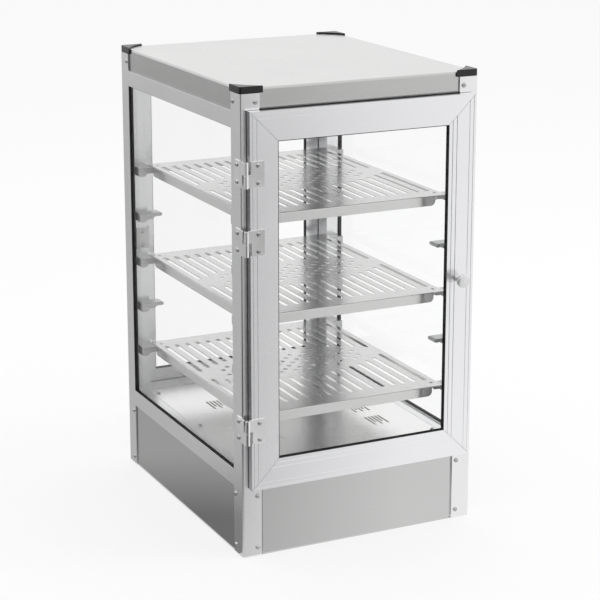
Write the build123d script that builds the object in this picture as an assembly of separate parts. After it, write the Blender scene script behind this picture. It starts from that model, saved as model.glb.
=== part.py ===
from build123d import *
import math
import os

# Countertop glass display case with a heated base, a glass door front and rear and three shelves.
# Millimetres, +Z up, front door towards -Y, origin on the floor at the centre of the footprint.
# The case looks the same after half a turn about Z, so rear pieces are the front ones turned.

# Overall size
case_width = 362
case_depth = 434
case_height = 660

# Corner posts: hollow extrusions with a groove for the side glass
post_size = 29
post_wall = 2
post_corner_radius = 3

# Plastic corner caps
cap_height = 9.5
cap_leg = 35.5
cap_wall = 2
cap_plate = 2.3
cap_play = 0.2
cap_bow_share = 0.44

# Sheet metal
sheet = 1
cover_setback = 2.2
cover_bend_radius = 3
cover_front_skirt = 27.5
cover_side_skirt = 32.2
end_gap = 0.3
liner_side_gap = 1.3
liner_bearing = 12

# Horizontal rails between the posts
rail_wall = 2
upper_rail_height = 27.5
lower_rail_bottom = 98.5
lower_rail_height = 24.5
deck_drop = 2
glass_lip = 0.8
ledge_step = 14
ledge_reach = 10
ledge_thickness = 2.5

# Side glass, held against the inside of its groove by a rubber strip
side_glass_thickness = 5
side_glass_setback = 4.5
glass_seat_play = 0.2
rubber_strip = 1.4
glass_bite = 4.4
groove_depth = 5.3
rubber_lip = 0.5
rubber_play = 0.1
rubber_lip_setback = 0.4

# Base
panel_setback = 2
top_return = 12
bottom_return = 14
panel_top_gap = 0.2
panel_hole_play = 1

# Floor deck and its vents
deck_side_gap = 0.5
vent_pitch = 5.5
vent_width = 2.2
vent_lengths = [37, 27, 37, 27, 37]
vent_groups = [(95, -91), (95, -30), (-87, 77), (-75, -91)]

# Shelf brackets
bracket_levels = 5
first_level_share = 0.1572
level_pitch_share = 0.1466
bracket_width = 20
bracket_tip_offset = 45.5
bracket_root_gap = 0.4
bracket_tip_thickness = 5.5
bracket_middle_thickness = 9
bracket_root_thickness = 13
bracket_tip_length = 10.5
bracket_root_land = 8
bracket_slope = 5
nose_chamfer_share = 0.6

# Shelves
shelf_levels = [4, 2, 0]
shelf_names = ["shelf_top", "shelf_middle", "shelf_bottom"]
shelf_side_play = 2
shelf_depth_share = 0.8802
shelf_flange = 14
flange_corner = 5
front_flange_inset = 19
bracket_clearance = 1
slot_columns = 17
slot_side_margin = 12.8
slot_width = 6.2
slot_end_margin = 31
slot_bow_radius = 238
slot_bow_height = 63.5
hole_pitch = 23.5
hole_rows = 3
hole_columns = 9
hole_diameter = 8
hole_slot_margin = 12
hole_side_share = 0.71
hole_sides = 6
peg_hole_sides = 4
peg_hole_diameter = 5
peg_hole_inset_x = 11
peg_hole_inset_y = 17

# Doors
door_side_gap = 9
door_bottom_gap = 3.3
door_top_gap = 1.6
door_thickness = 10
door_member = 41.3
mitre_gap = 0.2
mitre_cut_margin = 9
member_edge_line = 3.1
member_lip = 9.4
member_groove = 0.8
member_flat = 30.4
member_step = 36.7
step_drop = 0.7
door_glass_thickness = 3
door_glass_reveal = 5.5
door_glass_cover = 7
channel_play = 1
door_rubber = 0.5
reveal_rubber = 1
reveal_rubber_drop = 0.2

# Door seal on the case, with a strip along the top rail above the door
seal_thickness = 1.9
seal_play = 0.1
seal_width = 16
seal_inset = 0.5

# Hinges
hinge_shares = [0.8416, 0.6650, 0.1637]
post_knuckle_on_top = [True, False, False]
hinge_height = 35
knuckle_gap = 0.3
barrel_radius = 3.25
pin_radius = 1.25
pin_seat_play = 0.02
pin_running_play = 0.05
leaf_thickness = 1.6
post_leaf_reach = 15
door_leaf_reach = 20.4
post_leaf_notch = 3
door_leaf_notch = 5.1
hinge_screw_spacing = 23.5
post_leaf_screw = 7
door_leaf_screw = 11.5

# Door knob, strike plate and magnetic catch
knob_share = 0.5027
knob_inset = 24.5
knob_diameter = 19.5
knob_stem_diameter = 8
knob_foot_diameter = 11
knob_projection = 19
knob_head = 6
knob_foot_height = 2
knob_fillet = 1
knob_round = 1.5
catch_width = 8
strike_thickness = 1.3
strike_height = 30
magnet_height = 28
magnet_length = 12.5
magnet_gap = 0.2
catch_sheet = 1.5
catch_plate_width = 19
catch_plate_height = 33
catch_screw_spacing = 21

# Small round pieces have this many sides
turned_sides = 12
bore_sides = 8
screw_sides = 6

# Screws
screw_radius = 3.6
screw_head = 2.3
screw_head_slope = 20
post_screw_inset = 22.5
deck_screw_inset = 32
cap_screw_drop = 12
panel_screw_inset = 9.5
foot_screw_height = 13
deck_screw_share = 0.87

# Heating and controls in the base
element_radius = 4
element_height = 62
element_half_width = 62
element_length = 230
element_bend = 30
element_bracket_height = 76
element_bracket_width = 150
element_bracket_foot = 20
element_tail = 15
element_play = 0.1
control_height = 52
control_share = 0.525
thermostat_size = 36
thermostat_depth = 26
shaft_radius = 3
shaft_reach = 9
shaft_play = 0.05
dial_radius = 14
dial_depth = 15
dial_gap = 0.5
dial_skirt = 3
dial_taper = 4
pointer_width = 2.4
pointer_depth = 4
pointer_lift = 1
switch_width = 15
switch_height = 28
switch_depth = 14
switch_bezel = 2
bezel_depth = 1.5
switch_play = 0.1
rocker_width = 11
rocker_height = 21
rocker_depth = 4.5
rocker_dip = 2.6
rocker_draft = 1
rocker_side_play = 0.4
rocker_end_play = 1
rocker_sink = 0.5
rocker_well = 7
rocker_tilt = 8
rocker_axle_radius = 1
rocker_axle_play = 0.05
rocker_axle_reach = 1.2
axle_seat_depth = 1.4
gland_radius = 9
gland_body_radius = 6.4
gland_hole_play = 0.1
gland_bore = 4
gland_length = 22
gland_flange = 5
gland_nut = 4
terminal_width = 40
terminal_depth = 24
terminal_height = 20
terminal_gap = 20
terminal_ways = 4
terminal_slot = 7
terminal_step_depth = 6
terminal_step_height = 9

# Openings are cut this far past the faces that they pass through
spare = 1

# Positions that follow from the sizes above
half_w = case_width / 2
half_d = case_depth / 2
inner_x = half_w - post_size
inner_y = half_d - post_size
post_top = case_height - cap_height - cap_play
cover_top = case_height - cap_plate - cap_play
cross_rail_top = cover_top - cover_front_skirt - end_gap
side_rail_top = cover_top - cover_side_skirt - end_gap
upper_rail_bottom = cross_rail_top - upper_rail_height
lower_rail_top = lower_rail_bottom + lower_rail_height
deck_top = lower_rail_top - deck_drop
deck_bottom = deck_top - sheet
clear_height = upper_rail_bottom - deck_top
glass_out = half_w - side_glass_setback
glass_in = glass_out - side_glass_thickness
groove_out = glass_out + rubber_strip
groove_in = glass_in - glass_seat_play
door_half = half_w - door_side_gap
door_bottom = lower_rail_bottom + door_bottom_gap
door_top = cross_rail_top - door_top_gap
door_height = door_top - door_bottom
door_back = half_d + seal_thickness + seal_play
door_front = door_back + door_thickness
axis_x = half_w + leaf_thickness - barrel_radius
axis_y = door_front + barrel_radius
knob_z = door_bottom + knob_share * door_height
hinge_zs = [door_bottom + share * door_height for share in hinge_shares]
level_shares = [first_level_share + level_pitch_share * i for i in range(bracket_levels)]
level_zs = [deck_top + share * clear_height for share in level_shares]
shelf_half_w = inner_x - shelf_side_play
shelf_half_d = shelf_depth_share * half_d
thermostat_x = control_share * half_w
switch_x = -thermostat_x
panel_face_x = half_w - panel_setback
panel_face_y = half_d - panel_setback
panel_top = lower_rail_bottom - panel_top_gap


def block(x0, x1, y0, y1, z0, z1):
    centre = Pos((x0 + x1) / 2, (y0 + y1) / 2, (z0 + z1) / 2)
    return centre * Box(abs(x1 - x0), abs(y1 - y0), abs(z1 - z0))


def half_turn(shape):
    return Rot(0, 0, 180) * shape


def across_x(shape):
    return mirror(shape, Plane.YZ)


def across_y(shape):
    return mirror(shape, Plane.XZ)


def save(name, solids):
    group = Compound(children=list(solids)) if len(solids) > 1 else solids[0]
    export_step(group, f"parts/{name}.step")


def outline(points):
    return make_face(Polyline(points, close=True))


def along_y(points, y0, y1):
    # prism with its outline given as (x, z) points
    face = Plane.XZ * outline(points)
    return Pos(0, y1, 0) * extrude(face, y1 - y0)


def round_bar(radius, length, sides=turned_sides):
    # along Z about the origin, corners on the stated radius
    return Pos(0, 0, -length / 2) * extrude(RegularPolygon(radius, sides), length)


def round_hole(radius, length):
    # along Z about the origin, flats on the stated radius
    return Pos(0, 0, -length / 2) * extrude(RegularPolygon(radius, bore_sides, major_radius=False), length)


def turned(profile):
    # profile holds (height, radius) pairs, each band is a prism that narrows from its wider end
    bands = []
    flat = math.cos(math.pi / turned_sides)
    for (z0, r0), (z1, r1) in zip(profile, profile[1:]):
        slope = math.degrees(math.atan2(abs(r0 - r1) * flat, z1 - z0))
        band = extrude(RegularPolygon(max(r0, r1), turned_sides), z1 - z0, taper=slope)
        bands.append(Pos(0, 0, z0) * band if r0 >= r1 else Pos(0, 0, z1) * mirror(band, Plane.XY))
    return bands[0] + bands[1:]


def screw_along(x, y, z, direction):
    head = extrude(RegularPolygon(screw_radius, screw_sides), screw_head, taper=screw_head_slope)
    return Plane((x, y, z), z_dir=direction) * head


# Corner posts


def front_left_post():
    section = Pos(-half_w + post_size / 2, -half_d + post_size / 2) * Rectangle(post_size, post_size)
    outer_corner = section.vertices().sort_by(Axis.X)[:2].sort_by(Axis.Y)[0]
    section = fillet(outer_corner, post_corner_radius)
    solid = extrude(section, post_top)
    deep = -inner_y - groove_depth
    hollow_front = block(
        -half_w + post_wall, -inner_x - post_wall, -half_d + post_wall, deep - post_wall,
        -spare, post_top + spare,
    )
    hollow_side = block(
        -groove_in + post_wall, -inner_x - post_wall, deep - post_wall - spare, -inner_y - post_wall,
        -spare, post_top + spare,
    )
    groove = block(-groove_out, -groove_in, deep, -inner_y + spare, -spare, post_top + spare)
    return solid - hollow_front - hollow_side - groove


post = front_left_post()


# Corner caps sit on the posts and grip the corners of the cover


def front_left_cap():
    x = -half_w
    y = -half_d
    bottom = post_top + cap_play
    arm = Line((x, y), (x + cap_leg, y))
    inward = cap_bow_share * cap_leg
    bow = ThreePointArc((x + cap_leg, y), (x + inward, y + inward), (x, y + cap_leg))
    back = Line((x, y + cap_leg), (x, y))
    plate = Pos(0, 0, case_height - cap_plate) * extrude(make_face([arm, bow, back]), cap_plate)
    roof = case_height - cap_plate
    wall_front = block(x, x + cap_leg, y, y + cap_wall, bottom, roof)
    wall_side = block(x, x + cap_wall, y, y + cap_leg, bottom, roof)
    plug_top = cover_top - sheet - cap_play
    plug = block(x, x + post_size, y, y + post_size, bottom, plug_top)
    cap = plate + wall_front + wall_side + plug
    corner = cap.edges().filter_by(Axis.Z).group_by(Axis.X)[0].group_by(Axis.Y)[0]
    return fillet(corner, post_corner_radius)


cap = front_left_cap()


# Top cover: one bent sheet with its corners running under the caps


def top_cover():
    x = half_w - cover_setback
    y = half_d - cover_setback
    low = cover_top - cover_side_skirt
    outer = block(-x, x, -y, y, low, cover_top)
    outer = fillet(outer.faces().sort_by(Axis.Z)[-1].edges(), cover_bend_radius)
    inner = block(-x + sheet, x - sheet, -y + sheet, y - sheet, low - spare, cover_top - sheet)
    inner = fillet(inner.faces().sort_by(Axis.Z)[-1].edges(), cover_bend_radius - sheet)
    shell = outer - inner
    clear_x = inner_x - end_gap
    clear_y = inner_y - end_gap
    corner = block(clear_x, half_w, clear_y, half_d, low - spare, cover_top - sheet)
    for turn in (corner, across_x(corner), across_y(corner), half_turn(corner)):
        shell = shell - turn
    front_bottom = cover_top - cover_front_skirt
    trim = block(-half_w, half_w, y - 2 * sheet, half_d, low - spare, front_bottom)
    return shell - trim - across_y(trim)


def top_liner():
    reach_x = groove_in - liner_side_gap
    reach_y = inner_y + liner_bearing
    plate = block(-reach_x, reach_x, -reach_y, reach_y, upper_rail_bottom - sheet, upper_rail_bottom)
    corner = block(inner_x - end_gap, half_w, inner_y - end_gap, half_d, 0, case_height)
    for turn in (corner, across_x(corner), across_y(corner), half_turn(corner)):
        plate = plate - turn
    return plate


# Side rails carry the glass groove, the lower ones also carry the floor deck


def upper_left_rail():
    low = upper_rail_bottom
    rail = block(-half_w, -inner_x, -inner_y, inner_y, low, side_rail_top)
    groove = block(
        -groove_out, -groove_in, -inner_y - spare, inner_y + spare, low - spare, low + groove_depth
    )
    hollow_top = block(
        -half_w + rail_wall, -inner_x - rail_wall, -inner_y - spare, inner_y + spare,
        low + groove_depth + rail_wall, side_rail_top - rail_wall,
    )
    hollow_side = block(
        -groove_in + rail_wall, -inner_x - rail_wall, -inner_y - spare, inner_y + spare,
        low + rail_wall, low + groove_depth + rail_wall + spare,
    )
    return rail - groove - hollow_top - hollow_side


def lower_left_rail():
    low = lower_rail_bottom
    lip = -groove_in + glass_lip
    step = lip + ledge_step
    tip = -inner_x + ledge_reach
    shape = [
        (-half_w, low), (-inner_x, low), (-inner_x, deck_bottom - ledge_thickness),
        (tip, deck_bottom - ledge_thickness), (tip, deck_bottom), (step, deck_bottom),
        (step, deck_top), (lip, deck_top), (lip, lower_rail_top), (-half_w, lower_rail_top),
    ]
    rail = along_y(shape, -inner_y, inner_y)
    floor = lower_rail_top - groove_depth
    groove = block(
        -groove_out, -groove_in, -inner_y - spare, inner_y + spare, floor, lower_rail_top + spare
    )
    hollow = block(
        -half_w + rail_wall, -inner_x - rail_wall, -inner_y - spare, inner_y + spare,
        low + rail_wall, floor - rail_wall,
    )
    return rail - groove - hollow


def cross_rail(bottom, top):
    rail = block(-inner_x, inner_x, -half_d, -inner_y, bottom, top)
    hollow = block(
        -inner_x - spare, inner_x + spare, -half_d + rail_wall, -inner_y - rail_wall,
        bottom + rail_wall, top - rail_wall,
    )
    return rail - hollow


def lower_front_rail():
    reach = inner_x - ledge_reach - end_gap
    ledge_bottom = deck_bottom - ledge_thickness
    ledge = block(-reach, reach, -inner_y, -inner_y + ledge_reach, ledge_bottom, deck_bottom)
    return cross_rail(lower_rail_bottom, lower_rail_top) + ledge


# Side glass with a rubber strip round its outer face


def left_glass():
    reach = inner_y + glass_bite
    low = lower_rail_top - glass_bite
    return block(-glass_out, -glass_in, -reach, reach, low, upper_rail_bottom + glass_bite)


def left_rubber():
    deep = groove_depth - rubber_play
    reach = inner_y + deep
    low = lower_rail_top
    high = upper_rail_bottom
    body = block(
        -groove_out + rubber_play, -glass_out, -reach, reach, low - deep, high + deep
    )
    lip = block(
        -half_w + rubber_lip_setback, -groove_out + rubber_play,
        -inner_y + rubber_play, inner_y - rubber_play, low + rubber_play, high - rubber_play,
    )
    clear = inner_y - rubber_lip
    opening = block(-half_w, -inner_x, -clear, clear, low + rubber_lip, high - rubber_lip)
    return body + lip - opening


# Floor deck, base panels and base plate


def floor_deck():
    x = groove_in - glass_lip - ledge_step - deck_side_gap
    y = inner_y - end_gap
    deck = block(-x, x, -y, y, deck_bottom, deck_top)
    for centre_x, centre_y in vent_groups:
        for i, length in enumerate(vent_lengths):
            slot_x = centre_x + (i - (len(vent_lengths) - 1) / 2) * vent_pitch
            slot_y = centre_y + (max(vent_lengths) - length) / 2
            deck = deck - Pos(slot_x, slot_y, deck_top) * Box(vent_width, length, 2 * (sheet + spare))
    return deck


def front_panel():
    reach = inner_x - end_gap
    face = -panel_face_y
    wall = block(-reach, reach, face, face + sheet, 0, panel_top)
    upper = block(-reach, reach, face, face + sheet + top_return, panel_top - sheet, panel_top)
    lower = block(-reach, reach, face, face + sheet + bottom_return, sheet, 2 * sheet)
    return wall + upper + lower


def left_panel():
    reach = inner_y - end_gap
    face = -panel_face_x
    wall = block(face, face + sheet, -reach, reach, 0, panel_top)
    upper = block(face, face + sheet + top_return, -reach, reach, panel_top - sheet, panel_top)
    lower = block(face, face + sheet + bottom_return, -reach, reach, sheet, 2 * sheet)
    return wall + upper + lower


def rear_panel():
    panel = half_turn(front_panel())
    through = 2 * (sheet + spare)
    dial_hole = Rot(90, 0, 0) * round_hole(shaft_radius + panel_hole_play, through)
    gland_hole = Rot(90, 0, 0) * round_hole(gland_body_radius + gland_hole_play, through)
    window = Box(switch_width + 2 * switch_play, through, switch_height + 2 * switch_play)
    dial_hole = Pos(thermostat_x, panel_face_y, control_height) * dial_hole
    gland_hole = Pos(0, panel_face_y, control_height) * gland_hole
    window = Pos(switch_x, panel_face_y, control_height) * window
    return panel - dial_hole - gland_hole - window


def base_plate():
    x = panel_face_x - sheet - cap_play
    y = panel_face_y - sheet - cap_play
    plate = block(-x, x, -y, y, 0, sheet)
    corner = block(inner_x - end_gap, half_w, inner_y - end_gap, half_d, -spare, sheet + spare)
    for turn in (corner, across_x(corner), across_y(corner), half_turn(corner)):
        plate = plate - turn
    return plate


# Shelf brackets: round-nosed tongues on the inner faces of the posts, stepped on their underside


def front_left_bracket(level):
    root = -groove_in + bracket_root_gap
    tip = -half_w + bracket_tip_offset
    nose = bracket_tip_thickness / 2
    land = root + bracket_root_land
    neck = tip - bracket_tip_length
    side = [
        (root, level), (tip - nose, level),
        (tip, level - nose_chamfer_share * nose), (tip, level - (2 - nose_chamfer_share) * nose),
        (tip - nose, level - 2 * nose), (neck, level - 2 * nose),
        (neck - bracket_slope, level - bracket_middle_thickness),
        (land + bracket_slope, level - bracket_middle_thickness),
        (land, level - bracket_root_thickness), (root, level - bracket_root_thickness),
    ]
    return along_y(side, -inner_y, -inner_y + bracket_width)


# Shelves: folded sheet with rows of slots that bow round a field of staggered holes


def slot_start(x):
    return slot_bow_height - slot_bow_radius + math.sqrt(slot_bow_radius**2 - x**2)


def shelf_openings():
    cuts = []
    pitch = 2 * (shelf_half_w - slot_side_margin) / (slot_columns - 1)
    slot_end = shelf_half_d - slot_end_margin
    for column in range(slot_columns):
        x = (column - (slot_columns - 1) / 2) * pitch
        length = slot_end - slot_start(x)
        middle = slot_end - length / 2
        cuts.append(Pos(x, middle) * Rectangle(slot_width, length))
        cuts.append(Pos(x, -middle) * Rectangle(slot_width, length))
    side_limit = hole_side_share * shelf_half_w
    for row in range(-hole_rows, hole_rows + 1):
        y = row * hole_pitch / 2
        shift = 0.5 * (row % 2)
        for column in range(-hole_columns, hole_columns + 1):
            x = (column + shift) * hole_pitch
            inside = abs(x) < side_limit and abs(y) + hole_diameter / 2 + hole_slot_margin < slot_start(x)
            if inside:
                cuts.append(Pos(x, y) * RegularPolygon(hole_diameter / 2, hole_sides))
    for side in (-1, 1):
        for end in (-1, 1):
            spot = Pos(side * (shelf_half_w - peg_hole_inset_x), end * (shelf_half_d - peg_hole_inset_y))
            cuts.append(spot * RegularPolygon(peg_hole_diameter / 2, peg_hole_sides))
    return cuts


def shelf_tray():
    plan = Rectangle(2 * shelf_half_w, 2 * shelf_half_d)
    tray = Pos(0, 0, -sheet) * extrude(plan - shelf_openings(), sheet)
    front_reach = shelf_half_w - front_flange_inset
    front = block(-front_reach, front_reach, -shelf_half_d, -shelf_half_d + sheet, -shelf_flange, 0)
    low_corners = front.edges().filter_by(Axis.Y).group_by(Axis.Z)[0]
    front = chamfer(low_corners, flange_corner)
    side_reach = inner_y - bracket_width - bracket_clearance
    left = block(-shelf_half_w, -shelf_half_w + sheet, -side_reach, side_reach, -shelf_flange, 0)
    low_corners = left.edges().filter_by(Axis.X).group_by(Axis.Z)[0]
    left = chamfer(low_corners, flange_corner)
    return tray + front + half_turn(front) + left + half_turn(left)


# Door frame: four mitred extrusions round a glass pane


def door_member_piece(length):
    # runs along Z about the origin, outer edge on x = 0, outer face towards -Y on y = 0
    step = step_drop
    channel_front = door_glass_reveal - door_rubber
    channel_back = door_glass_reveal + door_glass_thickness + door_rubber
    seat = door_member - door_glass_cover - channel_play
    shape = [
        (0, 0), (member_edge_line, 0), (member_edge_line, member_groove),
        (member_edge_line + member_groove, member_groove), (member_edge_line + member_groove, 0),
        (member_lip, 0), (member_lip, member_groove), (member_lip + member_groove, member_groove),
        (member_lip + member_groove, 0), (member_flat, 0), (member_flat, step), (member_step, step),
        (member_step, 2 * step), (door_member, 2 * step), (door_member, channel_front),
        (seat, channel_front), (seat, channel_back), (door_member, channel_back),
        (door_member, door_thickness), (0, door_thickness),
    ]
    bar = Pos(0, 0, -length / 2) * extrude(outline(shape), length)
    tip = (length - mitre_gap) / 2
    far = door_member + mitre_cut_margin
    wedge = outline([(0, tip), (0, tip + mitre_cut_margin), (far, tip + mitre_cut_margin), (far, tip - far)])
    cut = Pos(0, door_thickness + spare, 0) * extrude(Plane.XZ * wedge, door_thickness + 2 * spare)
    return bar - cut - mirror(cut, Plane.XY)


def door_frame():
    middle = Pos(0, -door_front, door_bottom + door_height / 2)
    upright = Pos(-door_half, 0, 0) * door_member_piece(door_height)
    level = Pos(-door_height / 2, 0, 0) * door_member_piece(2 * door_half)
    hinge_stile = middle * upright
    latch_stile = middle * Rot(0, 180, 0) * upright
    top_rail = middle * Rot(0, 90, 0) * level
    bottom_rail = middle * Rot(0, -90, 0) * level
    return hinge_stile, latch_stile, top_rail, bottom_rail


def door_glass():
    inset = door_member - door_glass_cover
    front = -door_front + door_glass_reveal
    return block(
        -door_half + inset, door_half - inset, front, front + door_glass_thickness,
        door_bottom + inset, door_top - inset,
    )


def door_glass_rubber():
    seat = door_member - door_glass_cover - channel_play + rubber_play
    front = -door_front + door_glass_reveal - door_rubber
    back = -door_front + door_glass_reveal + door_glass_thickness + door_rubber
    body = block(-door_half + seat, door_half - seat, front, back, door_bottom + seat, door_top - seat)
    rim = door_member
    nose = -door_front + 2 * step_drop + reveal_rubber_drop
    lining = block(-door_half + rim, door_half - rim, nose, front + spare, door_bottom + rim, door_top - rim)
    clear = rim + reveal_rubber
    opening = block(
        -door_half + clear, door_half - clear, -door_front - spare, back + spare,
        door_bottom + clear, door_top - clear,
    )
    return body + lining - opening - door_glass()


def door_seal():
    x = door_half - seal_inset
    low = door_bottom + seal_inset
    high = door_top - seal_inset
    body = block(-x, x, -half_d - seal_thickness, -half_d, low, high)
    back = -half_d - seal_thickness
    body = body + block(-inner_x, inner_x, back, -half_d, high - seal_width, cross_rail_top)
    clear = x - seal_width
    opening = block(
        -clear, clear, -half_d - seal_thickness - spare, -half_d + spare, low + seal_width, high - seal_width
    )
    return body - opening


# Hinges: one leaf on the side of the post, the other on the face of the door


def barrel(z0, z1, bore):
    centre = Pos(-axis_x, -axis_y, (z0 + z1) / 2)
    return centre * round_bar(barrel_radius, z1 - z0), centre * round_hole(bore, z1 - z0 + 2 * spare)


def hinge_pieces(z, post_on_top):
    half = hinge_height / 2
    upper = (z + knuckle_gap / 2, z + half)
    lower = (z - half, z - knuckle_gap / 2)
    post_span, door_span = (upper, lower) if post_on_top else (lower, upper)
    leaf_end = -half_d + post_leaf_reach
    out = -half_w - leaf_thickness
    post_barrel, post_bore = barrel(*post_span, pin_radius + pin_seat_play)
    post_leaf = block(out, -half_w, -axis_y, leaf_end, *post_span) + post_barrel - post_bore
    notch_y = -axis_y + barrel_radius + post_leaf_notch
    post_leaf = post_leaf + block(out, -half_w, notch_y, leaf_end, z - half, z + half)
    door_barrel, door_bore = barrel(*door_span, pin_radius + pin_running_play)
    face = -door_front - leaf_thickness
    leaf_tip = -door_half + door_leaf_reach
    door_leaf = block(-axis_x, leaf_tip, face, -door_front, *door_span) + door_barrel - door_bore
    notch_x = -axis_x + barrel_radius + door_leaf_notch
    door_leaf = door_leaf + block(notch_x, leaf_tip, face, -door_front, z - half, z + half)
    pin = Pos(-axis_x, -axis_y, z) * round_bar(pin_radius, hinge_height, bore_sides)
    return post_leaf, door_leaf, pin


# Knob, strike plate and catch


def door_knob():
    foot = knob_foot_diameter / 2
    stem = knob_stem_diameter / 2
    head = knob_diameter / 2
    base = knob_projection - knob_head
    profile = [
        (0, foot), (knob_foot_height, foot), (2 * knob_foot_height, stem), (base - knob_fillet, stem),
        (base, head - knob_fillet), (base + knob_fillet, head),
        (knob_projection - knob_round, head), (knob_projection, head - knob_round),
    ]
    return Pos(door_half - knob_inset, -door_front, knob_z) * Rot(90, 0, 0) * turned(profile)


def door_strike():
    x = inner_x
    half = strike_height / 2
    return block(x - catch_width, x, -door_back, -door_back + strike_thickness, knob_z - half, knob_z + half)


def catch_magnet():
    front = -door_back + strike_thickness + magnet_gap
    half = magnet_height / 2
    return block(inner_x - catch_width, inner_x, front, front + magnet_length, knob_z - half, knob_z + half)


def catch_angle():
    half = catch_plate_height / 2
    magnet_end = -door_back + strike_thickness + magnet_gap + magnet_length
    face = -inner_y + catch_sheet
    edge = inner_x - catch_sheet
    plate = block(edge, inner_x + catch_plate_width, -inner_y, face, knob_z - half, knob_z + half)
    leg = block(edge, inner_x, magnet_end, -inner_y, knob_z - half, knob_z + half)
    return plate + leg


# Screw heads


def post_screws():
    x = half_w - post_screw_inset
    y = half_d - post_screw_inset
    heights = [post_top + cap_play - cap_screw_drop, panel_top - panel_screw_inset, foot_screw_height]
    screws = []
    for z in heights:
        for side in (-1, 1):
            screws.append(screw_along(side * x, -half_d, z, (0, -1, 0)))
            screws.append(screw_along(side * x, half_d, z, (0, 1, 0)))
            screws.append(screw_along(half_w, side * y, z, (1, 0, 0)))
            screws.append(screw_along(-half_w, side * y, z, (-1, 0, 0)))
    return screws


def deck_screws():
    x = half_w - deck_screw_inset
    screws = []
    for side in (-1, 1):
        for y in (-deck_screw_share * inner_y, 0, deck_screw_share * inner_y):
            screws.append(screw_along(side * x, y, deck_top, (0, 0, 1)))
    return screws


def hinge_post_screws():
    y = -half_d + post_leaf_screw
    screws = []
    for z in hinge_zs:
        for end in (-0.5, 0.5):
            head = screw_along(-half_w - leaf_thickness, y, z + end * hinge_screw_spacing, (-1, 0, 0))
            screws.append(head)
            screws.append(half_turn(head))
    return screws


def catch_screws():
    x = inner_x + catch_plate_width / 2
    screws = []
    for end in (-0.5, 0.5):
        head = screw_along(x, -inner_y + catch_sheet, knob_z + end * catch_screw_spacing, (0, 1, 0))
        screws.append(head)
        screws.append(half_turn(head))
    return screws


def door_screws():
    x = -door_half + door_leaf_screw
    y = -door_front - leaf_thickness
    screws = []
    for z in hinge_zs:
        for end in (-0.5, 0.5):
            screws.append(screw_along(x, y, z + end * hinge_screw_spacing, (0, -1, 0)))
    return screws


# Heating element on its bracket, controls and wiring entry on the rear panel


def heating_element():
    x = element_half_width
    y = element_length / 2
    r = element_bend
    z = element_height
    bend = (1 - math.cos(math.pi / 4)) * r
    path = Polyline(
        (-x, y, z), (-x, -y + r, z), (-x + bend, -y + bend, z), (-x + r, -y, z),
        (x - r, -y, z), (x - bend, -y + bend, z), (x, -y + r, z), (x, y, z),
    )
    section = Plane(path @ 0, z_dir=path % 0) * RegularPolygon(element_radius, bore_sides)
    return sweep(section, path, transition=Transition.RIGHT)


def element_bracket():
    y = element_length / 2 - element_tail
    half = element_bracket_width / 2
    wall = block(-half, half, y, y + 2 * sheet, sheet, element_bracket_height)
    foot = block(-half, half, y - element_bracket_foot, y + 2 * sheet, sheet, 3 * sheet)
    bracket = wall + foot
    for side in (-1, 1):
        hole = Rot(90, 0, 0) * round_hole(element_radius + element_play, 2 * (2 * sheet + spare))
        bracket = bracket - Pos(side * element_half_width, y, element_height) * hole
    return bracket


def thermostat_body():
    half = thermostat_size / 2
    back = panel_face_y - sheet
    body = block(
        thermostat_x - half, thermostat_x + half, back - thermostat_depth, back,
        control_height - half, control_height + half,
    )
    bore = round_hole(shaft_radius + shaft_play, 2 * (shaft_reach + spare))
    return body - Pos(thermostat_x, back, control_height) * Rot(90, 0, 0) * bore


def thermostat_dial():
    face = panel_face_y + dial_gap
    grip = dial_radius - dial_taper
    profile = [
        (0, dial_radius), (dial_skirt, dial_radius), (dial_taper, grip + dial_taper - dial_skirt),
        (dial_depth, grip),
    ]
    cap_body = turned(profile)
    pointer_length = dial_depth - dial_taper
    pointer = Box(pointer_width, pointer_depth, pointer_length)
    pointer = Pos(0, grip + pointer_lift, dial_depth - pointer_length / 2) * pointer
    shaft_length = dial_gap + sheet + shaft_reach
    shaft = Pos(0, 0, -shaft_length / 2) * round_bar(shaft_radius, shaft_length)
    return Pos(thermostat_x, face, control_height) * Rot(-90, 0, 0) * (cap_body + pointer + shaft)


def switch_housing():
    face = panel_face_y
    w = switch_width / 2
    h = switch_height / 2
    low = control_height - h
    high = control_height + h
    body = block(switch_x - w, switch_x + w, face - switch_depth, face, low, high)
    bezel = block(
        switch_x - w - switch_bezel, switch_x + w + switch_bezel, face, face + bezel_depth,
        low - switch_bezel, high + switch_bezel,
    )
    well_x = rocker_width / 2 + rocker_side_play
    well_z = rocker_height / 2 + rocker_end_play
    well = block(
        switch_x - well_x, switch_x + well_x, face - rocker_well, face + bezel_depth + spare,
        control_height - well_z, control_height + well_z,
    )
    axle_hole = round_hole(rocker_axle_radius + rocker_axle_play, rocker_width + 2 * axle_seat_depth)
    axle_hole = Pos(switch_x, face - rocker_sink, control_height) * Rot(0, 90, 0) * axle_hole
    return body + bezel - well - axle_hole


def rocker():
    half = rocker_height / 2
    deep = rocker_depth
    foot = half - rocker_draft
    side = Plane.YZ * outline([(-deep, -foot), (deep, -half), (rocker_dip, 0), (deep, half), (-deep, foot)])
    body = Pos(-rocker_width / 2, 0, 0) * extrude(side, rocker_width)
    axle = Rot(0, 90, 0) * round_bar(rocker_axle_radius, rocker_width + 2 * rocker_axle_reach, bore_sides)
    place = Pos(switch_x, panel_face_y - rocker_sink, control_height)
    return place * Rot(-rocker_tilt, 0, 0) * (body + axle)


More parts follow.
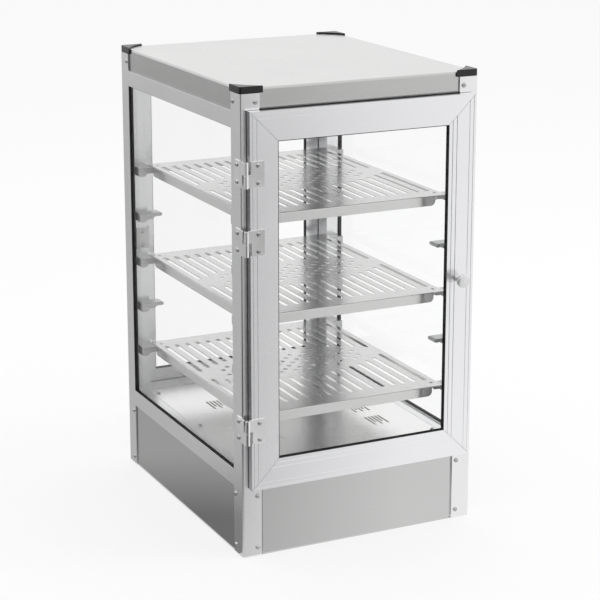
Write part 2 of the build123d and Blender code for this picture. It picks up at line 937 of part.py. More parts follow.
def cord_gland():
    body = Rot(90, 0, 0) * round_bar(gland_body_radius, gland_length)
    outline = RegularPolygon(gland_radius, screw_sides)
    flange = Pos(0, gland_flange, 0) * Rot(90, 0, 0) * extrude(outline, gland_flange)
    nut = Pos(0, -sheet, 0) * Rot(90, 0, 0) * extrude(outline, gland_nut)
    bore = Rot(90, 0, 0) * round_hole(gland_bore, gland_length + 2 * spare)
    return Pos(0, panel_face_y, control_height) * (body + flange + nut - bore)


def terminal_block():
    y = inner_y - terminal_gap
    half = terminal_width / 2
    top = sheet + terminal_height
    body = block(-half, half, y - terminal_depth, y, sheet, top)
    step = sheet + terminal_step_height
    for i in range(terminal_ways):
        slot_x = -half + (i + 0.5) * terminal_width / terminal_ways
        low_x = slot_x - terminal_slot / 2
        slot = block(low_x, low_x + terminal_slot, y - terminal_step_depth, y + spare, step, top + spare)
        body = body - slot
    return body


os.makedirs("parts", exist_ok=True)

save("post_front_left", [post])
save("post_front_right", [across_x(post)])
save("post_rear_left", [across_y(post)])
save("post_rear_right", [half_turn(post)])
save("corner_caps", [cap, across_x(cap), across_y(cap), half_turn(cap)])
save("top_cover", [top_cover()])
save("top_liner", [top_liner()])
upper_rail = upper_left_rail()
save("upper_side_rails", [upper_rail, half_turn(upper_rail)])
lower_rail = lower_left_rail()
save("lower_side_rails", [lower_rail, half_turn(lower_rail)])
upper_cross = cross_rail(upper_rail_bottom, cross_rail_top)
save("upper_cross_rails", [upper_cross, half_turn(upper_cross)])
lower_cross = lower_front_rail()
save("lower_cross_rails", [lower_cross, half_turn(lower_cross)])
save("side_glass_left", [left_glass()])
save("side_glass_right", [half_turn(left_glass())])
rubber = left_rubber()
save("side_glass_rubbers", [rubber, half_turn(rubber)])
save("floor_deck", [floor_deck()])
save("base_panel_front", [front_panel()])
save("base_panel_rear", [rear_panel()])
side_panel = left_panel()
save("base_panel_left", [side_panel])
save("base_panel_right", [half_turn(side_panel)])
save("base_plate", [base_plate()])
left_brackets = []
for level in level_zs:
    bracket = front_left_bracket(level)
    left_brackets.append(bracket)
    left_brackets.append(across_y(bracket))
save("shelf_brackets_left", left_brackets)
save("shelf_brackets_right", [across_x(bracket) for bracket in left_brackets])
seal = door_seal()
save("door_seals", [seal, half_turn(seal)])
post_leaves = []
door_leaves = []
pins = []
for z, post_on_top in zip(hinge_zs, post_knuckle_on_top):
    post_leaf, door_leaf, pin = hinge_pieces(z, post_on_top)
    post_leaves.append(post_leaf)
    door_leaves.append(door_leaf)
    pins.append(pin)
save("hinge_post_leaves", post_leaves + [half_turn(leaf) for leaf in post_leaves])
save("hinge_pins", pins + [half_turn(pin) for pin in pins])
angle = catch_angle()
save("door_catches", [angle, half_turn(angle)])
magnet = catch_magnet()
save("catch_magnets", [magnet, half_turn(magnet)])
save("frame_screws", post_screws() + deck_screws() + hinge_post_screws() + catch_screws())
save("heating_element", [heating_element()])
save("element_bracket", [element_bracket()])
save("thermostat_body", [thermostat_body()])
save("thermostat_dial", [thermostat_dial()])
save("switch_housing", [switch_housing()])
save("rocker_switch", [rocker()])
save("cord_gland", [cord_gland()])
save("terminal_block", [terminal_block()])
tray = shelf_tray()
for name, level in zip(shelf_names, shelf_levels):
    save(name, [Pos(0, 0, level_zs[level] + sheet) * tray])

hinge_stile, latch_stile, top_rail, bottom_rail = door_frame()
door_pieces = {
    "hinge_stile": [hinge_stile],
    "latch_stile": [latch_stile],
    "top_rail": [top_rail],
    "bottom_rail": [bottom_rail],
    "glass": [door_glass()],
    "glass_rubber": [door_glass_rubber()],
    "hinge_leaves": door_leaves,
    "screws": door_screws(),
    "knob": [door_knob()],
    "strike": [door_strike()],
}
for name, solids in door_pieces.items():
    save(f"front_door_{name}", solids)
    save(f"rear_door_{name}", [half_turn(solid) for solid in solids])
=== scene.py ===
from math import copysign, cos, pi, radians, sin, sqrt

import bmesh
import bpy
from mathutils import Matrix, Vector


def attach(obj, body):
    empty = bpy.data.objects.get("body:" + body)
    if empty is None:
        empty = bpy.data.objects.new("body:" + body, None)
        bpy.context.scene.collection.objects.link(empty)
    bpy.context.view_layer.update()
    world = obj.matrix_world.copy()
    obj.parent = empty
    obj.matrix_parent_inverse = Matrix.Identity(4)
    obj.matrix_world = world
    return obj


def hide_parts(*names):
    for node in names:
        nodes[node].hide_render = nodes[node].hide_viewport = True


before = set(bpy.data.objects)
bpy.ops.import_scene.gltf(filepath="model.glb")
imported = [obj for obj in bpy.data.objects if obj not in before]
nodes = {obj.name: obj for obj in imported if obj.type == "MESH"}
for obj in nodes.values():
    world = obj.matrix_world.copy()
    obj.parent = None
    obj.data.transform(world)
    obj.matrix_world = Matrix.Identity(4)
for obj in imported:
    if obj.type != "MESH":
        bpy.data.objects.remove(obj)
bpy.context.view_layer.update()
scene = bpy.context.scene
print("frame loaded:", len(nodes), "nodes")

# pieces are shaped in millimetres and scaled to metres when they are finished
mm = 0.001
caseSize = {
    "half": (181.0, 217.0),  # width and depth
    "inner": (152.0, 188.0),  # inner faces of the posts
    "height": 660.0,
    "postTop": 650.3,
    "deckTop": 121.0,
    "doorFront": 229.0,
    "knobHeight": 366.47,
    "hingeHeights": (544.97, 452.0, 188.0),
    "hingeLeaf": 1.6,
}


# materials

def newMaterial(name):
    material = bpy.data.materials.new(name)
    material.use_nodes = True
    tree = material.node_tree
    return material, tree, tree.nodes["Principled BSDF"]


def feed(tree, node, inputs):
    # each input takes a fixed value, or the socket that feeds it
    for name, value in inputs.items():
        if isinstance(value, bpy.types.NodeSocket):
            tree.links.new(value, node.inputs[name])
        else:
            node.inputs[name].default_value = value


def addNode(tree, kind, inputs=None):
    node = tree.nodes.new("ShaderNode" + kind)
    feed(tree, node, inputs or {})
    return node


def calculate(tree, operation, first, second):
    node = addNode(tree, "Math", {0: first, 1: second})
    node.operation = operation
    return node.outputs[0]


def blendSurface(tree, factor, first, second):
    mix = addNode(tree, "MixShader", {"Fac": factor, 1: first.outputs[0], 2: second.outputs[0]})
    tree.links.new(mix.outputs[0], tree.nodes["Material Output"].inputs["Surface"])


def noise(tree, scale, detail, squeeze=(1, 1, 1)):
    place = addNode(tree, "TexCoord").outputs["Object"]
    squeezed = addNode(tree, "Mapping", {"Scale": squeeze, "Vector": place}).outputs["Vector"]
    inputs = {"Vector": squeezed, "Scale": scale, "Detail": detail, "Roughness": 0.55}
    return addNode(tree, "TexNoise", inputs).outputs["Fac"]


def remap(tree, value, low, high):
    # noise lies mostly between 0.3 and 0.7
    inputs = {"Value": value, "From Min": 0.3, "From Max": 0.7, "To Min": low, "To Max": high}
    return addNode(tree, "MapRange", inputs).outputs["Result"]


def variedColour(tree, factor, colour, spread):
    # from a little darker to a little lighter than the colour
    dark, light = ((*(min(1, c * (1 + way * spread)) for c in colour), 1) for way in (-1, 1))
    node = addNode(tree, "Mix")
    node.data_type = "RGBA"
    feed(tree, node, {"Factor": remap(tree, factor, 0, 1), "A": dark, "B": light})
    return node.outputs["Result"]


def bump(tree, shader, height, strength, distance):
    node = addNode(tree, "Bump", {"Height": height, "Strength": strength, "Distance": distance})
    tree.links.new(node.outputs["Normal"], shader.inputs["Normal"])


metalGrain = {
    "along": 5, "across": 700,  # the fine texture is squeezed across the grain
    "scale": 3.0, "detail": 4.0, "bumpDepth": 0.0001,
    "broadScale": 8.0, "broadDetail": 2.0, "broadRough": (-0.02, 0.03),
}


def grainedMetal(name, axis, look):
    material, tree, shader = newMaterial(name)
    g = metalGrain
    squeeze = tuple(g["along"] if axis == other else g["across"] for other in "xyz")
    fine = noise(tree, g["scale"], g["detail"], squeeze)
    broad = noise(tree, g["broadScale"], g["broadDetail"])
    rough, spread = look["rough"], look["grain"]
    fineRough = remap(tree, fine, rough - spread, rough + spread)
    feed(tree, shader, {
        "Base Color": variedColour(tree, fine, look["colour"], look["tone"]),
        "Roughness": calculate(tree, "ADD", fineRough, remap(tree, broad, *g["broadRough"])),
        "Metallic": look.get("metallic", 1.0),
    })
    bump(tree, shader, fine, look["bump"], g["bumpDepth"])
    return material


metalLooks = {
    "frame": {"colour": (0.9, 0.9, 0.91), "tone": 0.006, "rough": 0.25, "grain": 0.01, "bump": 0.004},
    "door": {"colour": (0.94, 0.94, 0.955), "tone": 0.006, "rough": 0.25, "grain": 0.01, "bump": 0.004},
    "sheet": {"colour": (0.63, 0.63, 0.627), "tone": 0.012, "rough": 0.24, "grain": 0.015, "bump": 0.012},
    # the cover's top takes a lighter copy of the sheet steel: painted light
    "cover": {"colour": (0.7, 0.7, 0.695), "tone": 0.01, "rough": 0.26, "grain": 0.012, "bump": 0.008},
    # its bends and skirts take a darker copy of the same steel: painted shade
    "skirt": {"colour": (0.585, 0.585, 0.58), "tone": 0.012, "rough": 0.26, "grain": 0.015, "bump": 0.012},
    "shelf": {"colour": (0.67, 0.67, 0.665), "tone": 0.02, "rough": 0.22, "grain": 0.03, "bump": 0.03},
    # the deck takes a much paler copy of the sheet steel: painted light on its top
    "deck": {"colour": (0.96, 0.96, 0.955), "tone": 0.02, "rough": 0.24, "grain": 0.03, "bump": 0.03},
    # the base plate is made near black: painted shade inside the base, seen through the deck's slots
    "plate": {"colour": (0.16, 0.16, 0.165), "tone": 0.05, "rough": 0.45, "grain": 0.04, "bump": 0.06,
              "metallic": 0.9},
    "bracket": {"colour": (0.55, 0.55, 0.55), "tone": 0.04, "rough": 0.3, "grain": 0.04, "bump": 0.06,
                "metallic": 0.95},
}

frameMetal = {axis: grainedMetal("frameAluminium_" + axis, axis, metalLooks["frame"]) for axis in "xyz"}
doorMetal = {axis: grainedMetal("doorAluminium_" + axis, axis, metalLooks["door"]) for axis in "xz"}
sheetMetal = {axis: grainedMetal("sheetSteel_" + axis, axis, metalLooks["sheet"]) for axis in "xyz"}
coverTopPaintedLight, skirtPaintedShade, shelfMetal, deckPaintedLight, bracketMetal, platePaintedShade = (
    grainedMetal(name + "Steel", "x", metalLooks[name])
    for name in ("cover", "skirt", "shelf", "deck", "bracket", "plate"))

speckle = {"detail": 4.0, "broadScale": 14.0, "broadDetail": 2.0, "tone": 0.15, "rough": 0.06, "bumpDepth": 0.0002}


def speckled(name, look):
    material, tree, shader = newMaterial(name)
    grain = noise(tree, look["scale"], speckle["detail"])
    broad = noise(tree, speckle["broadScale"], speckle["broadDetail"])
    rough, spread = look["rough"], speckle["rough"]
    feed(tree, shader, {
        "Base Color": variedColour(tree, broad, look["colour"], speckle["tone"]),
        "Roughness": remap(tree, grain, rough - spread, rough + spread),
        "Metallic": look.get("metallic", 0.0),
    })
    bump(tree, shader, grain, look["bump"], speckle["bumpDepth"])
    return material


smallLooks = {
    "capPlastic": {"colour": (0.006, 0.006, 0.006), "rough": 0.3, "scale": 900, "bump": 0.1},
    "blackPlastic": {"colour": (0.025, 0.025, 0.026), "rough": 0.45, "scale": 900, "bump": 0.15},
    "blackRubber": {"colour": (0.014, 0.014, 0.014), "rough": 0.68, "scale": 600, "bump": 0.2},
    "nickelPlate": {"colour": (0.88, 0.88, 0.875), "rough": 0.12, "metallic": 0.95, "scale": 500, "bump": 0.03},
    "screwSteel": {"colour": (0.57, 0.57, 0.575), "rough": 0.1, "metallic": 1.0, "scale": 500, "bump": 0.03},
    "knobMetal": {"colour": (0.8, 0.8, 0.81), "rough": 0.24, "metallic": 0.9, "scale": 420, "bump": 0.04},
    "elementSteel": {"colour": (0.16, 0.14, 0.13), "rough": 0.5, "metallic": 0.8, "scale": 300, "bump": 0.15},
    "switchRed": {"colour": (0.42, 0.02, 0.015), "rough": 0.25, "scale": 300, "bump": 0.03},
    "terminalCeramic": {"colour": (0.72, 0.69, 0.62), "rough": 0.35, "scale": 300, "bump": 0.08},
}
capPlastic, blackPlastic, rubber, nickel, screwSteel, knobMetal, elementSteel, switchRed, ceramic = (
    speckled(name, look) for name, look in smallLooks.items())

glassLook = {
    "colour": (0.998, 1.0, 0.999, 1), "index": 1.22,
    "haze": 0.012, "hazeScale": 30.0, "hazeDetail": 3.0, "lampTint": (0.975, 0.985, 0.98, 1),
}


def clearGlass():
    material, tree, shader = newMaterial("clearGlass")
    haze = noise(tree, glassLook["hazeScale"], glassLook["hazeDetail"])
    feed(tree, shader, {
        "Base Color": glassLook["colour"],
        "Transmission Weight": 1.0,
        "IOR": glassLook["index"],
        "Roughness": remap(tree, haze, 0.0, glassLook["haze"]),
    })
    # lamps shine through the panes instead of stopping at them
    seen = addNode(tree, "LightPath").outputs
    either = calculate(tree, "MAXIMUM", seen["Is Shadow Ray"], seen["Is Diffuse Ray"])
    blendSurface(tree, either, shader, addNode(tree, "BsdfTransparent", {"Color": glassLook["lampTint"]}))
    return material


glass = clearGlass()
print("materials ready")


# shaping helpers

def meshFrom(shape, name):
    mesh = bpy.data.meshes.new(name)
    shape.to_mesh(mesh)
    shape.free()
    return mesh


def linked(name, data):
    holder = bpy.data.objects.new(name, data)
    scene.collection.objects.link(holder)
    return holder


def evaluatedMesh(holder):
    return bpy.data.meshes.new_from_object(holder.evaluated_get(bpy.context.evaluated_depsgraph_get()))


def vertsOf(items):
    return [item for item in items if isinstance(item, bmesh.types.BMVert)]


def edgesOf(items):
    return [item for item in items if isinstance(item, bmesh.types.BMEdge)]


def across(axis, a, b, along):
    # a point from two coordinates across an axis and one along it
    return {"x": (along, a, b), "y": (a, along, b), "z": (a, b, along)}[axis]


def pull(shape, faces, vector):
    # extrudes faces, and returns the vertices that moved
    pulled = bmesh.ops.extrude_face_region(shape, geom=faces)
    moved = vertsOf(pulled["geom"])
    bmesh.ops.translate(shape, verts=moved, vec=vector)
    return moved


def facedOut(shape):
    bmesh.ops.recalc_face_normals(shape, faces=shape.faces)
    return shape


def prism(outline, axis, low, high):
    shape = bmesh.new()
    face = shape.faces.new([shape.verts.new(across(axis, a, b, low)) for a, b in outline])
    pull(shape, [face], across(axis, 0, 0, high - low))
    return facedOut(shape)


def bevelEdges(shape, edges, width, segments=3):
    bmesh.ops.bevel(shape, geom=edges, offset=width, offset_type="OFFSET", segments=segments,
                    profile=0.5, affect="EDGES", clamp_overlap=True, material=-1)


def outerCorner(shape, within):
    # the edges that run up the case's front left corner
    w, d = caseSize["half"]
    return [e for e in shape.edges if all(abs(v.co.x + w) < within and abs(v.co.y + d) < within for v in e.verts)]


def spun(profile, steps):
    # a turned shape about Z from (radius, height) points
    shape = bmesh.new()
    line = [shape.verts.new((r, 0, z)) for r, z in profile]
    edges = [shape.edges.new(pair) for pair in zip(line, line[1:])]
    bmesh.ops.spin(shape, geom=line + edges, cent=(0, 0, 0), axis=(0, 0, 1), angle=2 * pi, steps=steps,
                   use_merge=True)
    bmesh.ops.remove_doubles(shape, verts=shape.verts, dist=1e-4)
    return facedOut(shape)


def turnedBy(shape, matrix):
    bmesh.ops.rotate(shape, verts=shape.verts, cent=(0, 0, 0), matrix=matrix)
    return shape


def turn(shape, degrees, axis):
    return turnedBy(shape, Matrix.Rotation(radians(degrees), 3, axis))


def shift(shape, vector):
    bmesh.ops.translate(shape, verts=shape.verts, vec=vector)
    return shape


def merged(shapes):
    # several shapes become one
    whole = bmesh.new()
    for shape in shapes:
        part = meshFrom(shape, "part")
        whole.from_mesh(part)
        bpy.data.meshes.remove(part)
    return whole


def halfTurned(shape):
    return turn(shape.copy(), 180, "Z")


def flipped(shape, vector):
    # mirror image, with its faces turned outwards again
    image = shape.copy()
    bmesh.ops.scale(image, verts=image.verts, vec=vector)
    bmesh.ops.reverse_faces(image, faces=image.faces)
    return image


softEdge = {"segments": 2, "fromAngle": 40}


def finishPiece(name, shape, material, slotName, replaced, body="case", bevel=None, smooth=35):
    bmesh.ops.scale(shape, verts=shape.verts, vec=(mm, mm, mm))
    mesh = meshFrom(shape, name)
    piece = linked(name, mesh)
    mesh.materials.append(material)
    mesh.polygons.foreach_set("use_smooth", [True] * len(mesh.polygons))
    mesh.set_sharp_from_angle(angle=radians(smooth))
    if bevel:
        edge = piece.modifiers.new("edges", "BEVEL")
        edge.width = bevel * mm
        edge.segments = softEdge["segments"]
        edge.limit_method = "ANGLE"
        edge.angle_limit = radians(softEdge["fromAngle"])
        edge.harden_normals = True
    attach(piece, body)
    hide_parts(*replaced)
    return piece


def finishOnDoors(name, nodeEnd, shape, material, slotName, **finish):
    # the rear door is the front door turned half round
    for side, made in (("front", shape), ("rear", halfTurned(shape))):
        body = side + "_door"
        finishPiece(side + name, made, material, slotName, [body + "_" + nodeEnd], body, **finish)


def rectangle(left, low, right, high):
    return [(left, low), (right, low), (right, high), (left, high)]


def roundedLoop(cx, cy, width, height, radius, steps):
    # corner arcs of a rounded rectangle, or of a slot when the radius is half the width
    points = []
    for turns, sx, sy in ((0, 1, 1), (1, -1, 1), (2, -1, -1), (3, 1, -1)):
        for i in range(steps + 1):
            angle = pi / 2 * (turns + i / steps)
            points.append((cx + sx * (width / 2 - radius) + radius * cos(angle),
                           cy + sy * (height / 2 - radius) + radius * sin(angle)))
    return points


def circleLoop(cx, cy, radius, steps):
    angles = [2 * pi * i / steps for i in range(steps)]
    return [(cx + radius * cos(angle), cy + radius * sin(angle)) for angle in angles]


def fourfold(quarter):
    # a whole outline from the quarter where x and y are above zero
    back = quarter[::-1]
    return quarter + [(x, -y) for x, y in back] + [(-x, -y) for x, y in quarter] + [(-x, y) for x, y in back]


def sheetFromLoops(loops, thickness, edge):
    # a flat filled curve with openings, made a mesh, its top on z = 0
    curve = bpy.data.curves.new("sheet", "CURVE")
    curve.dimensions = "2D"
    curve.fill_mode = "BOTH"
    curve.extrude = thickness / 2 - edge
    curve.bevel_depth = edge
    curve.bevel_resolution = 0
    curve.offset = -edge
    for loop in loops:
        spline = curve.splines.new("POLY")
        spline.points.add(len(loop) - 1)
        for point, (x, y) in zip(spline.points, loop):
            point.co = (x, y, 0, 1)
        spline.use_cyclic_u = True
    holder = linked("sheet", curve)
    flat = evaluatedMesh(holder)
    shape = bmesh.new()
    shape.from_mesh(flat)
    bpy.data.objects.remove(holder)
    bpy.data.meshes.remove(flat)
    bpy.data.curves.remove(curve)
    bmesh.ops.remove_doubles(shape, verts=shape.verts, dist=1e-3)
    return shift(facedOut(shape), (0, 0, -thickness / 2))


fold = {"steps": 6, "firstRow": 0.2}  # a narrow first row keeps the shading of a flange flat


def foldedEdge(reach, out, bend, drop, sheet, cornerSize=0.0):
    # a quarter bend with a flange hanging from it, on the -Y side of a sheet whose top is z = 0
    strip = bmesh.new()
    line = [strip.verts.new((x, -out + bend, 0)) for x in (reach, -reach)]
    rim = strip.edges.new(line)
    bent = bmesh.ops.spin(strip, geom=[*line, rim], cent=(0, -out + bend, -bend), axis=(1, 0, 0),
                          angle=pi / 2, steps=fold["steps"], use_merge=False)
    last = edgesOf(bent["geom_last"])
    for row in (fold["firstRow"], drop - bend - fold["firstRow"]):
        down = bmesh.ops.extrude_edge_only(strip, edges=last)
        low = vertsOf(down["geom"])
        last = [edge for edge in edgesOf(down["geom"]) if all(v in low for v in edge.verts)]
        bmesh.ops.translate(strip, verts=low, vec=(0, 0, -row))
    if cornerSize:
        bmesh.ops.bevel(strip, geom=low, offset=cornerSize, offset_type="OFFSET", segments=fold["steps"],
                        profile=0.5, affect="VERTICES", clamp_overlap=True, material=-1)
    facedOut(strip)
    if sum(f.normal.y for f in strip.faces if f.normal.z < 0.5) > 0:
        bmesh.ops.reverse_faces(strip, faces=strip.faces)
    bmesh.ops.solidify(strip, geom=strip.faces[:], thickness=sheet)
    return strip


def foldedPair(angle, *form):
    # the same folded edge on two opposite sides
    return [turn(foldedEdge(*form), angle + more, "Z") for more in (0, 180)]


# corner posts and rails

postShape = {
    "groove": (171.3, 177.9),  # the side glass stands between these
    "grooveDepth": 5.3, "cornerRadius": 3.0, "cornerSteps": 6, "wall": 1.4, "hollow": 60.0, "edge": 0.35,
}


def frontLeftPost():
    w, d = caseSize["half"]
    x, y = caseSize["inner"]
    near, far = postShape["groove"]
    deep = y + postShape["grooveDepth"]
    outline = [(-w, -d), (-x, -d), (-x, -y), (-near, -y), (-near, -deep), (-far, -deep), (-far, -y), (-w, -y)]
    shape = prism(outline, "z", 0, caseSize["postTop"])
    bevelEdges(shape, outerCorner(shape, 0.01), postShape["cornerRadius"], postShape["cornerSteps"])
    bottom = [f for f in shape.faces if f.normal.z < -0.9]
    bmesh.ops.inset_region(shape, faces=bottom, thickness=postShape["wall"], use_even_offset=True)
    pull(shape, bottom, (0, 0, postShape["hollow"]))
    bmesh.ops.delete(shape, geom=bottom, context="FACES_ONLY")
    return shape


post = frontLeftPost()
posts = {
    "post_front_left": post.copy(),
    "post_front_right": flipped(post, (-1, 1, 1)),
    "post_rear_left": flipped(post, (1, -1, 1)),
    "post_rear_right": halfTurned(post),
}
for nodeName, shape in posts.items():
    finishPiece(nodeName + "_bar", shape, frameMetal["z"], "frame_aluminium", [nodeName],
                bevel=postShape["edge"], smooth=30)
post.free()

railShape = {
    "upperBottom": 602.0, "crossTop": 629.7, "sideTop": 625.0,
    "lowerBottom": 98.5, "lowerTop": 123.0,
    "deckBottom": 120.0, "ledgeThick": 2.5,
    "ledge": 142.0, "step": 156.5, "lip": 170.5,  # half widths of the side rails' steps
    "crossLedge": 10.0, "crossLedgeGap": 10.5,
    "edge": 0.3,
}


def rails():
    w, d = caseSize["half"]
    x, y = caseSize["inner"]
    near, far = postShape["groove"]
    deep, r = postShape["grooveDepth"], railShape
    high, low, top = r["upperBottom"], r["lowerBottom"], r["lowerTop"]
    deckLow, deckTop = r["deckBottom"], caseSize["deckTop"]
    under = deckLow - r["ledgeThick"]
    ledge = y - r["crossLedge"]
    outlines = {
        ("upper", "side"): [
            (-w, high), (-far, high), (-far, high + deep), (-near, high + deep), (-near, high), (-x, high),
            (-x, r["sideTop"]), (-w, r["sideTop"])],
        ("lower", "side"): [
            (-w, low), (-x, low), (-x, under), (-r["ledge"], under), (-r["ledge"], deckLow), (-r["step"], deckLow),
            (-r["step"], deckTop), (-r["lip"], deckTop), (-r["lip"], top), (-near, top), (-near, top - deep),
            (-far, top - deep), (-far, top), (-w, top)],
        ("upper", "cross"): rectangle(-d, high, -y, r["crossTop"]),
        ("lower", "cross"): [
            (-d, low), (-y, low), (-y, under), (-ledge, under), (-ledge, deckLow), (-y, deckLow), (-y, top),
            (-d, top)],
    }
    for (level, kind), outline in outlines.items():
        axis, reach = ("y", y) if kind == "side" else ("x", x)
        rail = prism(outline, axis, -reach, reach)
        if (level, kind) == ("lower", "cross"):
            # the ledge stops short of the side rails' ledges
            for v in rail.verts:
                if v.co.y > -y + 0.1:
                    v.co.x = copysign(x - r["crossLedgeGap"], v.co.x)
        finishPiece(level + kind.title() + "Rails", merged([halfTurned(rail), rail]), frameMetal[axis],
                    "frame_aluminium", [f"{level}_{kind}_rails"], bevel=r["edge"], smooth=30)


rails()
print("posts and rails ready")


# top cover

coverShape = {
    "top": 657.5, "setback": 2.2, "bend": 3.0, "sheet": 1.0,
    "frontBottom": 630.0, "sideBottom": 625.3,
    "endGap": 0.3, "cornerInset": 0.8, "edge": 0.1,
}


def topCover():
    # a flat top whose edges bend down into skirts that stop at the posts
    c = coverShape
    w, d = (side - c["setback"] for side in caseSize["half"])
    x, y = (side - c["endGap"] for side in caseSize["inner"])
    bend, inset, sheet, top = c["bend"], c["cornerInset"], c["sheet"], c["top"]
    outline = fourfold([(x, d - bend), (x, d - inset), (w - inset, d - inset), (w - inset, y), (w - bend, y)])
    parts = [sheetFromLoops([outline], sheet, c["edge"])]
    parts += foldedPair(0, x, d, bend, top - c["frontBottom"], sheet)
    parts += foldedPair(90, y, w, bend, top - c["sideBottom"], sheet)
    cover = shift(merged(parts), (0, 0, top))
    piece = finishPiece("topCover", cover, coverTopPaintedLight, "sheet_steel", ["top_cover"])
    piece.data.materials.append(skirtPaintedShade)
    # faces that look up take the lighter copy, the bends and skirts the darker one: painted light on top, painted
    # shade on the sides
    for face in piece.data.polygons:
        face.material_index = 0 if face.normal.z > 0.8 else 1


topCover()


# corner caps

capShape = {
    "leg": 34.0, "bottom": 650.5, "plate": 2.3, "wall": 2.0,
    "bow": 0.44, "bowSteps": 10,  # the long side of the plate is a little hollow
    "plugGap": 0.3, "plugReach": 28.8, "plugTop": 656.2,
    "overlap": 0.4, "corner": 3.6, "cornerSteps": 6, "edge": 0.45,
}


def cornerCaps():
    c = capShape
    left, front, top = -caseSize["half"][0], -caseSize["half"][1], caseSize["height"]
    leg, wall, gap, plugReach, bottom = c["leg"], c["wall"], c["plugGap"], c["plugReach"], c["bottom"]
    bow = []
    for i in range(c["bowSteps"] + 1):
        t = i / c["bowSteps"]
        sag = 4 * t * (1 - t) * (0.5 - c["bow"]) * leg
        bow.append((left + leg * (1 - t) - sag, front + leg * t - sag))
    plate = prism([(left, front)] + bow, "z", top - c["plate"], top)
    angled = [(left, front), (left + leg, front), (left + leg, front + wall), (left + wall, front + wall),
              (left + wall, front + leg), (left, front + leg)]
    skirt = prism(angled, "z", bottom, top - c["plate"] + c["overlap"])
    square = rectangle(left + gap, front + gap, left + plugReach, front + plugReach)
    plug = prism(square, "z", bottom, c["plugTop"])
    for part in (plate, skirt, plug):
        bevelEdges(part, outerCorner(part, 0.4), c["corner"], c["cornerSteps"])
    cap = merged([plate, skirt, plug])
    four = merged([flipped(cap, (-1, 1, 1)), flipped(cap, (1, -1, 1)), halfTurned(cap), cap])
    finishPiece("cornerCaps", four, capPlastic, "cap_plastic", ["corner_caps"], bevel=c["edge"], smooth=30)


cornerCaps()


# screws

screwShape = {
    "radius": 3.6, "height": 2.3,
    "dome": ((0, 1), (0.25, 0.97), (0.5, 0.87), (0.72, 0.7), (0.9, 0.44), (1, 0.15), (1, 0), (0, 0)),
    "crossLength": 4.0, "crossWidth": 0.95, "crossDepth": 0.9,
    "sides": 16,
}


def screwHead():
    s = screwShape
    length, width = s["crossLength"], s["crossWidth"]
    body = meshFrom(spun([(r * s["radius"], h * s["height"]) for r, h in s["dome"]], s["sides"]), "screw")
    cutter = bmesh.new()
    for a, b in ((length, width), (width, length)):
        box = Matrix.LocRotScale((0, 0, s["height"]), None, (a, b, 2 * s["crossDepth"]))
        bmesh.ops.create_cube(cutter, size=1, matrix=box)
    cutMesh = meshFrom(cutter, "cross")
    screw, cross = linked("screw", body), linked("cross", cutMesh)
    cut = screw.modifiers.new("cross", "BOOLEAN")
    cut.operation = "DIFFERENCE"
    cut.solver = "EXACT"
    cut.use_self = True
    cut.object = cross
    made = evaluatedMesh(screw)
    shape = bmesh.new()
    shape.from_mesh(made)
    for item in (screw, cross):
        bpy.data.objects.remove(item)
    for item in (body, cutMesh, made):
        bpy.data.meshes.remove(item)
    return shape


screwMaster = screwHead()


def screwAt(place, direction, twist):
    aim = Vector((0, 0, 1)).rotation_difference(Vector(direction)).to_matrix()
    return shift(turnedBy(screwMaster.copy(), aim @ Matrix.Rotation(radians(twist), 3, "Z")), place)


screwPlaces = {
    "postInset": 22.5, "postHeights": (638.5, 88.8, 13.0),
    "deckX": 149.0, "deckY": 163.56,
    "hingeSpacing": 23.5, "postLeafInset": 7.0, "doorLeafX": 160.5,
    "catchX": 161.5, "catchFace": -186.5, "catchSpacing": 21.0,
    "twistStart": 17, "twistStep": 37, "doorTwist": 20, "catchTwist": 30,  # how the recesses stand, in degrees
}


def unevenTwist(count):
    return (screwPlaces["twistStart"] + screwPlaces["twistStep"] * count) % 90


def allScrews():
    p = screwPlaces
    w, d = caseSize["half"]
    x, y = w - p["postInset"], d - p["postInset"]
    places = []
    for z in p["postHeights"]:
        for side in (-1, 1):
            places += [((side * x, -d, z), (0, -1, 0)), ((side * x, d, z), (0, 1, 0)),
                       ((w, side * y, z), (1, 0, 0)), ((-w, side * y, z), (-1, 0, 0))]
    for side in (-1, 1):
        for deckY in (-p["deckY"], 0, p["deckY"]):
            places.append(((side * p["deckX"], deckY, caseSize["deckTop"]), (0, 0, 1)))
    fixed = [screwAt(*place, unevenTwist(i + 1)) for i, place in enumerate(places)]
    onDoor = []
    count = len(places)
    for height in caseSize["hingeHeights"]:
        for end in (-0.5, 0.5):
            count += 1
            z, leaf = height + end * p["hingeSpacing"], caseSize["hingeLeaf"]
            onPost = screwAt((-w - leaf, -d + p["postLeafInset"], z), (-1, 0, 0), unevenTwist(count))
            fixed += [halfTurned(onPost), onPost]
            onDoor.append(screwAt((-p["doorLeafX"], -caseSize["doorFront"] - leaf, z), (0, -1, 0),
                                  unevenTwist(count) + p["doorTwist"]))
    for end in (-0.5, 0.5):
        place = (p["catchX"], p["catchFace"], caseSize["knobHeight"] + end * p["catchSpacing"])
        onCatch = screwAt(place, (0, 1, 0), p["catchTwist"])
        fixed += [halfTurned(onCatch), onCatch]
    finishPiece("frameScrews", merged(fixed), screwSteel, "screw_steel", ["frame_screws"])
    finishOnDoors("DoorScrews", "screws", merged(onDoor), screwSteel, "screw_steel")


allScrews()
print("caps and screws ready")


# hinges

